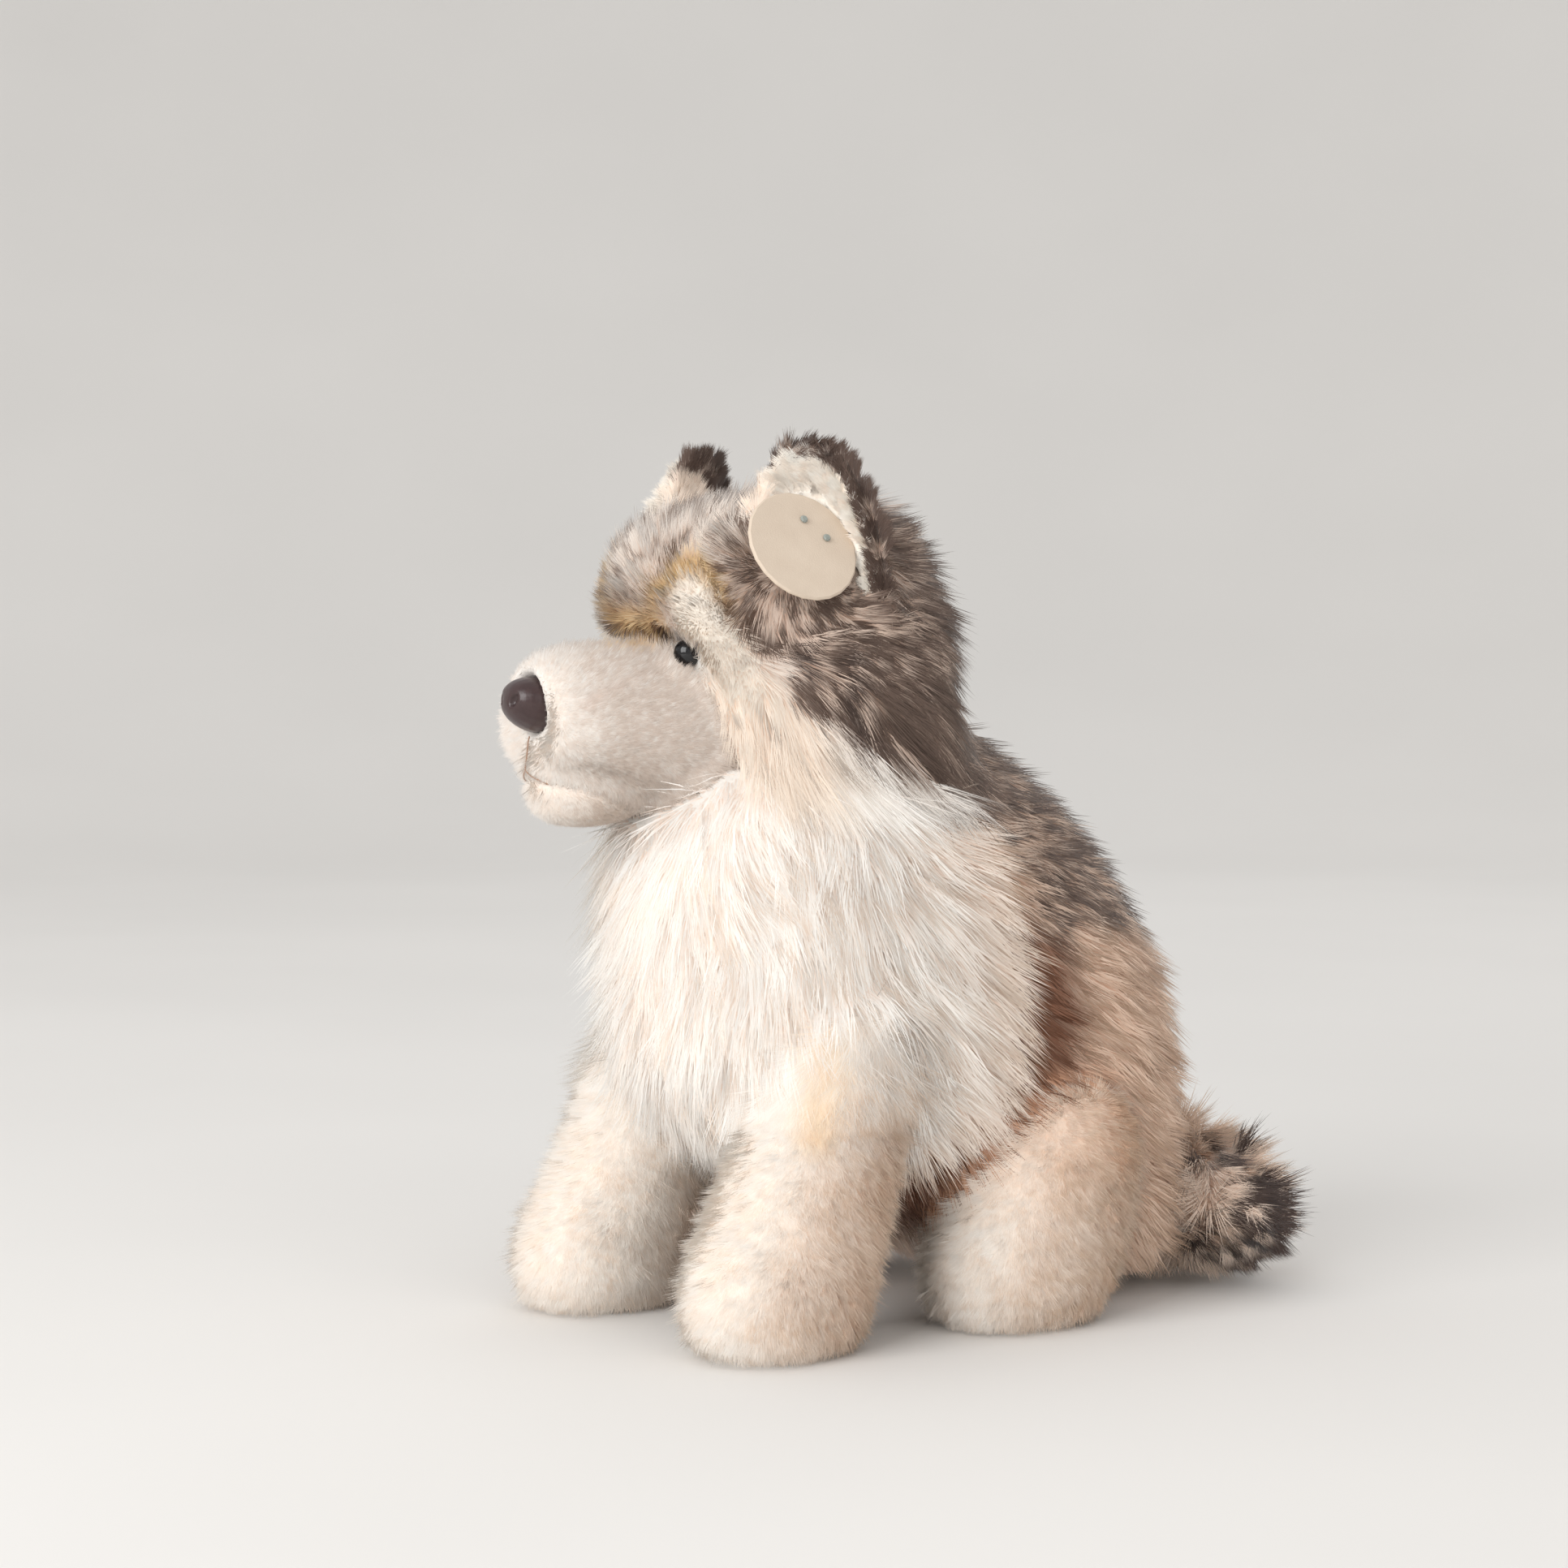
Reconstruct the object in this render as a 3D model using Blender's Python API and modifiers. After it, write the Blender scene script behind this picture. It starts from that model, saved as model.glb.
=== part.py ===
"""A sitting plush wolf, one sewn soft toy with plastic eyes and nose and a disc tag on its ear.

The wolf looks along -Y with its left side at +X, and sits on the plane Z = 0.
Lengths are in metres.
"""

import math

import bpy
from mathutils import Matrix, Vector

# How close two sewn or pressed faces lie
CLEARANCE = 0.0003

# Body: a stuffed sack that sits on its rump, measured from a vertical centre line
TORSO_HEIGHT = 0.188
CHEST_REACH = 0.088
RUMP_REACH = 0.123
SHOULDER_WIDTH = 0.132
WAIST_PINCH = 0.008
WAIST_BACK = 0.022
WAIST_SPAN = 0.022
HAUNCH_WIDTH = 0.146
TORSO_FULLNESS = 0.82

# Head: a ball with full cheeks, turned towards the wolf's right
HEAD_LIFT = 0.017
HEAD_AHEAD = 0.015
HEAD_TURN = math.radians(-10.0)
HEAD_WIDTH = 0.112
HEAD_RISE = 0.045
HEAD_DROP = 0.060
FACE_REACH = 0.0630
NAPE_REACH = 0.039
HEAD_FULLNESS = 0.80

# Muzzle and lower jaw, sewn of short pile
MUZZLE_REACH = 0.099
MUZZLE_WIDTH = 0.064
MUZZLE_HEIGHT = 0.056
MUZZLE_DROP = 0.026
MUZZLE_PEAR = 0.28
MUZZLE_BELLY = 0.20
MUZZLE_ROOT = 0.030
MUZZLE_FULLNESS = 0.92
JAW_WIDTH = 0.042
JAW_LENGTH = 0.038
JAW_HEIGHT = 0.022
JAW_SETBACK = 0.021
JAW_DROP = 0.018

# Ears: rounded cups with a pale lining
EAR_SPACING = 0.080
EAR_AHEAD = 0.018
EAR_SEAT_HEIGHT = 0.014
EAR_HEIGHT = 0.046
EAR_ROOT = 0.018
EAR_WIDTH = 0.044
EAR_THICKNESS = 0.011
EAR_CUP = 0.006
EAR_LEAN = 0.12
EAR_TILT = 0.13
EAR_TURN = math.radians(57.0)
EAR_FULLNESS = 0.90
LINING_THICKNESS = 0.004
LINING_MARGIN = 0.005

# Eyes and nose are moulded, each with a shank through the plush and a lock washer behind it
PLUSH_THICKNESS = 0.0025
EYE_DIAMETER = 0.0086
EYE_DOME = 0.0036
EYE_FLANGE = 0.0010
EYE_SPACING = 0.038
EYE_DROP = 0.0035
EYE_GAZE = math.radians(34.0)
EYE_SHANK_DIAMETER = 0.0040
EYE_SHANK_LENGTH = 0.0100
EYE_WASHER_DIAMETER = 0.0110
NOSE_WIDTH = 0.0220
NOSE_HEIGHT = 0.0178
NOSE_DEPTH = 0.0132
NOSE_RISE = 0.0068
NOSE_SINK = 0.0018
NOSE_TILT = 0.12
NOSE_FLARE = 0.10
NOSE_SWAY = 0.06
NOSE_STEM = 0.0040
NOSE_SHANK_DIAMETER = 0.0050
NOSE_SHANK_LENGTH = 0.0120
NOSE_WASHER_DIAMETER = 0.0150
NOSTRIL_DIAMETER = 0.0034
NOSTRIL_PLACE = (0.20, 0.05, 0.93)
NOSTRIL_SLANT = math.radians(35.0)
NOSTRIL_STRETCH = (1.0, 1.5, 1.1)
WASHER_THICKNESS = 0.0018
STUD_STEPS = 12
SHANK_BLUNTING = 0.25
# How far out a stud's seat is cut clear, past the pile in front of it
SEAT_CLEARING = 0.030

# Legs: stuffed tubes that swell into paws
FRONT_PAW_SPACING = 0.087
FRONT_PAW_AHEAD = 0.063
FRONT_PAW_LENGTH = 0.062
FRONT_PAW_WIDTH = 0.051
FRONT_LEG_DIAMETER = 0.050
FRONT_LEG_HEIGHT = 0.118
SHOULDER_SPACING = 0.078
SHOULDER_AHEAD = 0.024
HIND_PAW_SPACING = 0.107
HIND_PAW_AHEAD = -0.020
HIND_PAW_LENGTH = 0.064
HIND_PAW_WIDTH = 0.053
HIND_LEG_HEIGHT = 0.074
HIND_LEG_BACK = 0.040
LEG_FULLNESS = 0.95

# Tail: short and bushy, curled round to the wolf's left
TAIL_DIAMETER = 0.046
TAIL_ROOT_SINK = 0.026
TAIL_ROOT_HEIGHT = 0.029
TAIL_ROOT_SIDE = 0.010
TAIL_SWEEP = 0.074
TAIL_TIP_SINK = 0.016
TAIL_TIP_HEIGHT = 0.022
TAIL_BOW = 0.013
FLOOR_GAP = 0.002

# Ear tag: a thin disc held by two pins through it and the ear
TAG_DIAMETER = 0.0350
TAG_THICKNESS = 0.0014
TAG_RISE = 0.0135
TAG_STANDOFF = 0.0135
TAG_SHIFT = 0.0030
TAG_NORMAL = (0.88, 0.05, 0.46)
TAG_EDGE_SOFTNESS = 0.35
TAG_STEPS = 24
PIN_DIAMETER = 0.0011
PIN_HEAD_DIAMETER = 0.0024
PIN_HEAD_THICKNESS = 0.0007
PIN_LENGTH = 0.0125
PIN_SPACING = 0.0085
PIN_OFFSET = 0.0076
PIN_BEARING = math.radians(45.0)
PIN_STEPS = 8
# How far in front of the tag its room and its pins' holes are cut clear
TAG_CLEARING = 0.010
PIN_CLEARING = 0.020

# Colours and finishes: name, red, green, blue, roughness
FINISHES = {
    "long_fur_cream": (0.86, 0.74, 0.62, 0.95),
    "long_fur_grey": (0.36, 0.29, 0.25, 0.95),
    "short_pile_cream": (0.84, 0.68, 0.52, 0.95),
    "short_pile_grey": (0.72, 0.64, 0.57, 0.95),
    "ear_pile_cream": (0.90, 0.78, 0.66, 0.95),
    "gloss_brown": (0.045, 0.025, 0.022, 0.18),
    "gloss_black": (0.010, 0.010, 0.012, 0.12),
    "washer_white": (0.80, 0.80, 0.78, 0.45),
    "tag_leather": (0.72, 0.58, 0.44, 0.60),
    "pin_grey": (0.45, 0.48, 0.46, 0.40),
}

LEFT = 1
RIGHT = -1
SIDE_NAMES = {LEFT: "left", RIGHT: "right"}


def finish(name):
    """The material of that name, made the first time it is asked for."""
    material = bpy.data.materials.get(name)
    if material is None:
        red, green, blue, roughness = FINISHES[name]
        material = bpy.data.materials.new(name)
        material.use_nodes = True
        shader = material.node_tree.nodes["Principled BSDF"]
        shader.inputs["Base Color"].default_value = (red, green, blue, 1.0)
        shader.inputs["Roughness"].default_value = roughness
        shader.inputs["Metallic"].default_value = 0.0
        material.diffuse_color = (red, green, blue, 1.0)
    return material


def empty(name, parent=None, frame=None):
    """An empty that carries pieces."""
    holder = bpy.data.objects.new(name, None)
    parts.objects.link(holder)
    holder.empty_display_size = 0.02
    place(holder, parent, frame)
    return holder


def place(piece, parent, frame=None):
    """Parent a piece and stand it in the given frame of that parent."""
    piece.parent = parent
    if frame is not None:
        piece.location = frame.to_translation()
        piece.rotation_euler = frame.to_euler()


def frame_on(origin, outward, upward):
    """A frame whose Z runs outward and whose Y is as close to upward as it can be."""
    z_axis = outward.normalized()
    x_axis = upward.cross(z_axis).normalized()
    y_axis = z_axis.cross(x_axis)
    frame = Matrix((x_axis, y_axis, z_axis)).transposed().to_4x4()
    frame.translation = origin
    return frame


def make_piece(name, vertices, faces, parent, frame, material, subdivisions):
    """A mesh object from a coarse cage, rounded by Subdivision Surface."""
    mesh = bpy.data.meshes.new(name)
    mesh.from_pydata(vertices, [], faces)
    mesh.update()
    mesh.shade_smooth()
    piece = bpy.data.objects.new(name, mesh)
    parts.objects.link(piece)
    place(piece, parent, frame)
    mesh.materials.append(finish(material))
    round_off(piece, subdivisions)
    return piece


def round_off(piece, subdivisions):
    """Round a cage, and split its bent quads the same way on a piece and on its cutter."""
    rounding = piece.modifiers.new("Rounding", "SUBSURF")
    rounding.levels = subdivisions
    rounding.render_levels = subdivisions
    splitting = piece.modifiers.new("Splitting", "TRIANGULATE")
    splitting.quad_method = "FIXED"


def loft(name, rings, parent, frame, material, subdivisions=1):
    """A closed cage through rings of equal point counts, which run from the bottom to the top."""
    count = len(rings[0])
    vertices = [point for ring in rings for point in ring]
    faces = [tuple(reversed(range(count)))]
    for level in range(len(rings) - 1):
        low = level * count
        high = low + count
        for i in range(count):
            j = (i + 1) % count
            faces.append((low + i, low + j, high + j, high + i))
    top = (len(rings) - 1) * count
    faces.append(tuple(range(top, top + count)))
    return make_piece(name, vertices, faces, parent, frame, material, subdivisions)


def oval(centre, along, across, count, fullness=1.0):
    """Points round an oval; a fullness under one squares it off."""
    points = []
    for i in range(count):
        angle = math.tau * i / count
        cosine = math.cos(angle)
        sine = math.sin(angle)
        u = math.copysign(abs(cosine) ** fullness, cosine)
        v = math.copysign(abs(sine) ** fullness, sine)
        points.append(centre + along * u + across * v)
    return points


def turned(name, profile, steps, parent, frame, material=None):
    """A turned piece: profile points are (radius, height), from the top down its outer side."""
    mesh = bpy.data.meshes.new(name)
    points = [(radius, 0.0, height) for radius, height in profile]
    edges = [(i, i + 1) for i in range(len(points) - 1)]
    if points[0][0] > 0.0:
        edges.append((len(points) - 1, 0))
    mesh.from_pydata(points, edges, [])
    piece = bpy.data.objects.new(name, mesh)
    place(piece, parent, frame)
    turning = piece.modifiers.new("Turning", "SCREW")
    turning.axis = "Z"
    turning.steps = steps
    turning.render_steps = steps
    turning.use_merge_vertices = True
    turning.merge_threshold = 0.00001
    turning.use_smooth_shade = True
    if material is None:
        as_cutter(piece)
    else:
        parts.objects.link(piece)
        mesh.materials.append(finish(material))
    return piece


def as_cutter(piece):
    """Put a piece with the cutters, which are never part of the wolf."""
    cutters.objects.link(piece)
    piece.hide_render = True
    piece.display_type = "WIRE"


def swollen(piece, by):
    """A cutter with the form of a piece before it was cut, grown all round."""
    cutter = bpy.data.objects.new(piece.name + "_room", piece.data.copy())
    cutter.parent = piece.parent
    cutter.location = piece.location
    cutter.rotation_euler = piece.rotation_euler
    as_cutter(cutter)
    round_off(cutter, piece.modifiers["Rounding"].levels)
    growing = cutter.modifiers.new("Growing", "DISPLACE")
    growing.mid_level = 0.0
    growing.strength = by
    return cutter


def cut(piece, cutter):
    """Take the cutter's volume out of a piece."""
    cutting = piece.modifiers.new("Cut by " + cutter.name, "BOOLEAN")
    cutting.operation = "DIFFERENCE"
    cutting.solver = "EXACT"
    cutting.object = cutter


def skin_point(piece, start, direction):
    """Where a ray meets the outside of a piece, in the frame that the piece stands in."""
    bpy.context.view_layer.update()
    graph = bpy.context.evaluated_depsgraph_get()
    reach = 0.5
    outside = start + direction.normalized() * reach
    hit, point, _, _ = piece.ray_cast(outside, start - outside, depsgraph=graph)
    return point if hit else start


def torso_ring(row, count=12):
    """One level of the torso: shares of height, chest, rump, shoulder width and haunch width."""
    height, chest, rump, shoulder, haunch = row
    front = -chest * CHEST_REACH
    back = rump * RUMP_REACH
    middle = 0.5 * (front + back)
    half = 0.5 * (back - front)
    points = []
    for i in range(count):
        angle = math.tau * i / count
        y = middle - half * math.cos(angle)
        share = 0.5 - 0.5 * math.cos(angle)
        blend = share * share * (3.0 - 2.0 * share)
        width = 0.5 * (SHOULDER_WIDTH * shoulder * (1.0 - blend) + HAUNCH_WIDTH * haunch * blend)
        pinch = WAIST_PINCH * min(shoulder, haunch) * math.exp(-((y - WAIST_BACK) / WAIST_SPAN) ** 2)
        side = math.copysign(abs(math.sin(angle)) ** TORSO_FULLNESS, math.sin(angle))
        points.append(Vector((side * (width - pinch * abs(side)), y, height * TORSO_HEIGHT)))
    return points


# Torso levels, from the flat seat up to the neck that the head covers
TORSO_LEVELS = [
    (0.000, -0.64, 0.73, 0.42, 0.44),
    (0.000, -0.52, 0.81, 0.58, 0.60),
    (0.040, -0.34, 0.89, 0.76, 0.84),
    (0.125, -0.02, 0.96, 0.86, 0.95),
    (0.225, 0.52, 0.99, 0.92, 1.00),
    (0.330, 0.88, 1.00, 0.97, 1.00),
    (0.450, 0.99, 0.99, 1.00, 0.98),
    (0.560, 1.00, 0.94, 1.02, 0.94),
    (0.670, 1.00, 0.85, 1.01, 0.86),
    (0.775, 0.98, 0.72, 0.95, 0.77),
    (0.860, 0.92, 0.57, 0.84, 0.68),
    (0.935, 0.76, 0.40, 0.67, 0.56),
    (1.000, 0.54, 0.20, 0.44, 0.40),
]


def make_torso(root):
    rings = [torso_ring(row) for row in TORSO_LEVELS]
    return loft("torso", rings, root, None, "long_fur_cream")


# Head levels: share of the drop or rise, then shares of face reach, nape reach and width
HEAD_LEVELS = [
    (-1.00, 0.26, 0.45, 0.56),
    (-0.89, 0.50, 0.76, 0.84),
    (-0.67, 0.72, 0.92, 0.97),
    (-0.36, 0.82, 1.00, 1.02),
    (-0.08, 0.87, 1.02, 1.01),
    (0.10, 0.95, 1.00, 0.98),
    (0.27, 1.00, 0.94, 0.94),
    (0.50, 0.95, 0.84, 0.87),
    (0.72, 0.77, 0.71, 0.74),
    (0.89, 0.57, 0.52, 0.58),
    (0.99, 0.34, 0.28, 0.36),
    (1.02, 0.14, 0.10, 0.16),
]


def make_head(holder):
    rings = []
    count = 12
    for share, face, nape, width in HEAD_LEVELS:
        height = share * (HEAD_RISE if share > 0.0 else HEAD_DROP)
        front = -face * FACE_REACH
        back = nape * NAPE_REACH
        centre = Vector((0.0, 0.5 * (front + back), height))
        along = Vector((0.0, 0.5 * (front - back), 0.0))
        across = Vector((0.5 * width * HEAD_WIDTH, 0.0, 0.0))
        rings.append(oval(centre, along, across, count, HEAD_FULLNESS))
    return loft("head", rings, holder, None, "long_fur_grey")


# Muzzle stations: share of the way from its root to its tip, shares of width and height, and lift
MUZZLE_STATIONS = [
    (0.00, 1.00, 0.98, 0.000),
    (0.30, 1.03, 0.99, 0.010),
    (0.60, 1.02, 0.95, 0.035),
    (0.80, 0.97, 0.85, 0.060),
    (0.91, 0.86, 0.72, 0.085),
    (0.975, 0.68, 0.58, 0.100),
    (0.945, 0.44, 0.42, 0.120),
    (0.88, 0.25, 0.27, 0.125),
]


def make_muzzle(holder):
    rings = []
    for share, width, height, lifted in MUZZLE_STATIONS:
        ahead = MUZZLE_ROOT + share * (MUZZLE_REACH - MUZZLE_ROOT)
        centre = Vector((0.0, -ahead, lifted * MUZZLE_HEIGHT - MUZZLE_DROP))
        across = Vector((0.5 * width * MUZZLE_WIDTH, 0.0, 0.0))
        rise = Vector((0.0, 0.0, 0.5 * height * MUZZLE_HEIGHT))
        ring = oval(centre, across, rise, 10, MUZZLE_FULLNESS)
        for point in ring:
            lift = (point.z - centre.z) / rise.z
            point.x *= 1.0 - MUZZLE_PEAR * (lift + MUZZLE_BELLY)
        rings.append(ring)
    return loft("muzzle", rings, holder, None, "short_pile_grey")


# Jaw levels: share of half the height, and size
JAW_LEVELS = [
    (-1.0, 0.35),
    (-0.7, 0.80),
    (0.0, 1.00),
    (0.7, 0.80),
    (1.0, 0.35),
]


def make_jaw(holder):
    centre = Vector((0.0, -(MUZZLE_REACH - JAW_SETBACK), -MUZZLE_DROP - JAW_DROP))
    rings = []
    for share, size in JAW_LEVELS:
        level = centre + Vector((0.0, 0.0, 0.5 * share * JAW_HEIGHT))
        along = Vector((0.0, -0.5 * size * JAW_LENGTH, 0.0))
        across = Vector((0.5 * size * JAW_WIDTH, 0.0, 0.0))
        rings.append(oval(level, along, across, 10))
    return loft("lower_jaw", rings, holder, None, "short_pile_cream")


def ear_frame(side):
    """The ear's own frame: Z up the ear, Y out of its lining, X across it."""
    facing = Vector((side * math.sin(EAR_TURN), -math.cos(EAR_TURN), 0.0))
    axis = Vector((-side * EAR_TILT, -EAR_LEAN, 1.0)).normalized()
    facing = (facing - axis * facing.dot(axis)).normalized()
    across = facing.cross(axis)
    frame = Matrix((across, facing, axis)).transposed().to_4x4()
    frame.translation = Vector((side * 0.5 * EAR_SPACING, -EAR_AHEAD, EAR_SEAT_HEIGHT))
    return frame


# Ear levels: share of the root or height, then shares of width and thickness
EAR_LEVELS = [
    (-1.00, 0.60, 0.90),
    (-0.55, 0.86, 1.00),
    (0.00, 0.99, 1.00),
    (0.30, 1.02, 0.92),
    (0.60, 0.91, 0.81),
    (0.86, 0.61, 0.66),
    (1.00, 0.25, 0.42),
]


def ear_rings(width, thickness, height, root, forward, count):
    rings = []
    for share, wide, thick in EAR_LEVELS:
        level = share * (height if share > 0.0 else root)
        half = 0.5 * wide * width
        ring = oval(Vector((0.0, 0.0, level)), Vector((half, 0.0, 0.0)),
                    Vector((0.0, 0.5 * thick * thickness, 0.0)), count, EAR_FULLNESS)
        for point in ring:
            point.y += forward + EAR_CUP * ((point.x / (0.5 * EAR_WIDTH)) ** 2 - 0.5)
        rings.append(ring)
    return rings


def make_ear(side, holder):
    frame = ear_frame(side)
    rings = ear_rings(EAR_WIDTH, EAR_THICKNESS, EAR_HEIGHT, EAR_ROOT, 0.0, 10)
    ear = loft("ear_" + SIDE_NAMES[side], rings, holder, frame, "long_fur_grey")
    inner = EAR_WIDTH - 2.0 * LINING_MARGIN
    forward = 0.5 * (EAR_THICKNESS - LINING_THICKNESS) + CLEARANCE
    rings = ear_rings(inner, LINING_THICKNESS, EAR_HEIGHT - LINING_MARGIN, EAR_ROOT, forward, 8)
    lining = loft("ear_lining_" + SIDE_NAMES[side], rings, holder, frame, "ear_pile_cream")
    return ear, lining


def stud_profile(shank, length, outline):
    """A moulded stud: the given outline down to its flange, then a shank with a blunt tip."""
    tip = SHANK_BLUNTING * shank
    return outline + [
        (shank, -EYE_FLANGE),
        (shank, -length + tip),
        (shank - tip, -length),
        (0.0, -length),
    ]


def stud_room(radius, shank, washer, reach):
    """What a stud and its washer take out of the plush: flange seat, shank hole, washer room."""
    seat = -EYE_FLANGE - CLEARANCE
    front = seat - PLUSH_THICKNESS
    back = front - WASHER_THICKNESS - 2.0 * CLEARANCE
    end = -reach - CLEARANCE
    return [
        (0.0, SEAT_CLEARING),
        (radius + CLEARANCE, SEAT_CLEARING),
        (radius + CLEARANCE, seat),
        (shank + CLEARANCE, seat),
        (shank + CLEARANCE, front),
        (washer + CLEARANCE, front),
        (washer + CLEARANCE, back),
        (shank + CLEARANCE, back),
        (shank + CLEARANCE, end),
        (0.0, end),
    ]


def make_washer(name, shank, washer, holder, frame):
    """A flat ring pushed onto a shank from inside the plush."""
    front = -EYE_FLANGE - 2.0 * CLEARANCE - PLUSH_THICKNESS
    back = front - WASHER_THICKNESS
    bore = shank + CLEARANCE
    profile = [(bore, front), (washer, front), (washer, back), (bore, back)]
    turned(name, profile, STUD_STEPS, holder, frame, "washer_white")


def make_eye(side, holder, head, muzzle):
    radius = 0.5 * EYE_DIAMETER
    shank = 0.5 * EYE_SHANK_DIAMETER
    outline = [(0.0, EYE_DOME)]
    for i in range(1, 5):
        angle = 0.5 * math.pi * i / 4
        outline.append((radius * math.sin(angle), EYE_DOME * math.cos(angle)))
    outline.append((radius, -EYE_FLANGE))
    side_offset = side * 0.5 * EYE_SPACING
    level = Vector((side_offset, 0.0, -EYE_DROP))
    spot = skin_point(head, level, Vector((0.0, -1.0, 0.0)))
    gaze = Vector((side * math.sin(EYE_GAZE), -math.cos(EYE_GAZE), 0.0))
    frame = frame_on(spot, gaze, Vector((0.0, 0.0, 1.0)))
    profile = stud_profile(shank, EYE_SHANK_LENGTH, outline)
    turned("eye_" + SIDE_NAMES[side], profile, STUD_STEPS, holder, frame, "gloss_black")
    washer = 0.5 * EYE_WASHER_DIAMETER
    make_washer("eye_washer_" + SIDE_NAMES[side], shank, washer, holder, frame)
    room = stud_room(radius, shank, washer, EYE_SHANK_LENGTH)
    eye_room = turned("eye_room_" + SIDE_NAMES[side], room, STUD_STEPS, holder, frame)
    cut(head, eye_room)
    cut(muzzle, eye_room)


# Nose stations, from its back to its rounded front: shares of depth, width and height
NOSE_STATIONS = [
    (-0.08, 0.80, 0.78),
    (0.10, 1.02, 1.00),
    (0.45, 1.02, 0.98),
    (0.78, 0.80, 0.76),
    (1.00, 0.42, 0.40),
]


def nose_rings():
    rings = []
    for share, width, height in NOSE_STATIONS:
        centre = Vector((0.0, NOSE_SWAY * NOSE_HEIGHT * share, share * NOSE_DEPTH))
        ring = oval(centre, Vector((0.5 * width * NOSE_WIDTH, 0.0, 0.0)),
                    Vector((0.0, 0.5 * height * NOSE_HEIGHT, 0.0)), 10)
        for point in ring:
            lift = point.y / (0.5 * NOSE_HEIGHT)
            point.x *= 1.0 + NOSE_FLARE * lift
        rings.append(ring)
    return rings


def make_nose(holder, muzzle):
    """The nose sits on the upper front of the muzzle, with two nostrils and a groove."""
    level = Vector((0.0, 0.0, -MUZZLE_DROP + NOSE_RISE))
    spot = skin_point(muzzle, level, Vector((0.0, -1.0, 0.0)))
    sunk = spot + Vector((0.0, NOSE_SINK, 0.0))
    frame = frame_on(sunk, Vector((0.0, -1.0, NOSE_TILT)), Vector((0.0, 0.0, 1.0)))
    nose = loft("nose", nose_rings(), holder, frame, "gloss_brown")
    room = swollen(nose, CLEARANCE)
    shank = 0.5 * NOSE_SHANK_DIAMETER
    washer = 0.5 * NOSE_WASHER_DIAMETER
    stem = stud_profile(shank, NOSE_SHANK_LENGTH, [(0.0, NOSE_STEM), (shank, NOSE_STEM)])
    join(nose, turned("nose_stem", stem, STUD_STEPS, holder, frame))
    cut(muzzle, room)
    hollow = stud_room(shank, shank, washer, NOSE_SHANK_LENGTH)
    hollow[0] = (0.0, 0.5 * NOSE_STEM)
    hollow[1] = (shank + CLEARANCE, 0.5 * NOSE_STEM)
    cut(muzzle, turned("nose_washer_room", hollow, STUD_STEPS, holder, frame))
    make_washer("nose_washer", shank, washer, holder, frame)
    for side in (LEFT, RIGHT):
        cut(nose, nostril(side, holder, frame))


def nostril(side, holder, frame):
    """A bean-shaped hole that slants up and out from the middle of the nose's front."""
    radius = 0.5 * NOSTRIL_DIAMETER
    bpy.ops.mesh.primitive_uv_sphere_add(segments=10, ring_count=6, radius=radius)
    bean = bpy.context.active_object
    bean.name = "nostril_" + SIDE_NAMES[side]
    for collection in list(bean.users_collection):
        collection.objects.unlink(bean)
    as_cutter(bean)
    aside, above, ahead = NOSTRIL_PLACE
    spot = Vector((side * aside * NOSE_WIDTH, above * NOSE_HEIGHT, ahead * NOSE_DEPTH))
    local = Matrix.Translation(spot) @ Matrix.Rotation(-side * NOSTRIL_SLANT, 4, "Z")
    place(bean, holder, frame @ local)
    bean.scale = NOSTRIL_STRETCH
    return bean


def join(piece, other):
    """Weld a helper solid onto a piece."""
    welding = piece.modifiers.new("Joined to " + other.name, "BOOLEAN")
    welding.operation = "UNION"
    welding.solver = "EXACT"
    welding.object = other


# Where the front paw ends and the leg starts, as a share of the height
PAW_TOP = 0.25

# Front leg levels: share of height, then shares from paw to shoulder, of depth and of width
FRONT_LEG_LEVELS = [
    (0.00, 0.00, 0.50, 0.48),
    (0.00, 0.00, 0.76, 0.74),
    (0.045, -0.01, 0.94, 0.93),
    (0.14, -0.01, 1.01, 1.02),
    (0.25, 0.11, 1.00, 1.01),
    (0.38, 0.32, 0.93, 0.99),
    (0.63, 0.58, 0.84, 0.94),
    (1.00, 1.00, 0.60, 0.70),
]


def make_front_leg(side, root, torso_room):
    rings = []
    for share, way, deep, wide in FRONT_LEG_LEVELS:
        x = side * 0.5 * (FRONT_PAW_SPACING + way * (SHOULDER_SPACING - FRONT_PAW_SPACING))
        y = -FRONT_PAW_AHEAD - way * (SHOULDER_AHEAD - FRONT_PAW_AHEAD)
        slim = min(1.0, max(0.0, (share - PAW_TOP) / PAW_TOP))
        depth = deep * FRONT_PAW_LENGTH
        width = wide * (FRONT_PAW_WIDTH + slim * (FRONT_LEG_DIAMETER - FRONT_PAW_WIDTH))
        centre = Vector((x, y, share * FRONT_LEG_HEIGHT))
        along = Vector((0.0, -0.5 * depth, 0.0))
        rings.append(oval(centre, along, Vector((0.5 * width, 0.0, 0.0)), 10, LEG_FULLNESS))
    leg = loft("front_leg_" + SIDE_NAMES[side], rings, root, None, "short_pile_cream")
    cut(leg, torso_room)


# Hind leg levels: share of height, then shares from paw to knee, of length and of width
HIND_LEG_LEVELS = [
    (0.00, 0.00, 0.50, 0.48),
    (0.00, 0.00, 0.76, 0.74),
    (0.07, 0.03, 0.94, 0.92),
    (0.22, 0.12, 1.06, 1.03),
    (0.38, 0.28, 1.07, 1.06),
    (0.60, 0.58, 1.01, 1.06),
    (0.84, 0.87, 0.78, 0.93),
    (1.00, 1.00, 0.34, 0.46),
]


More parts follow.
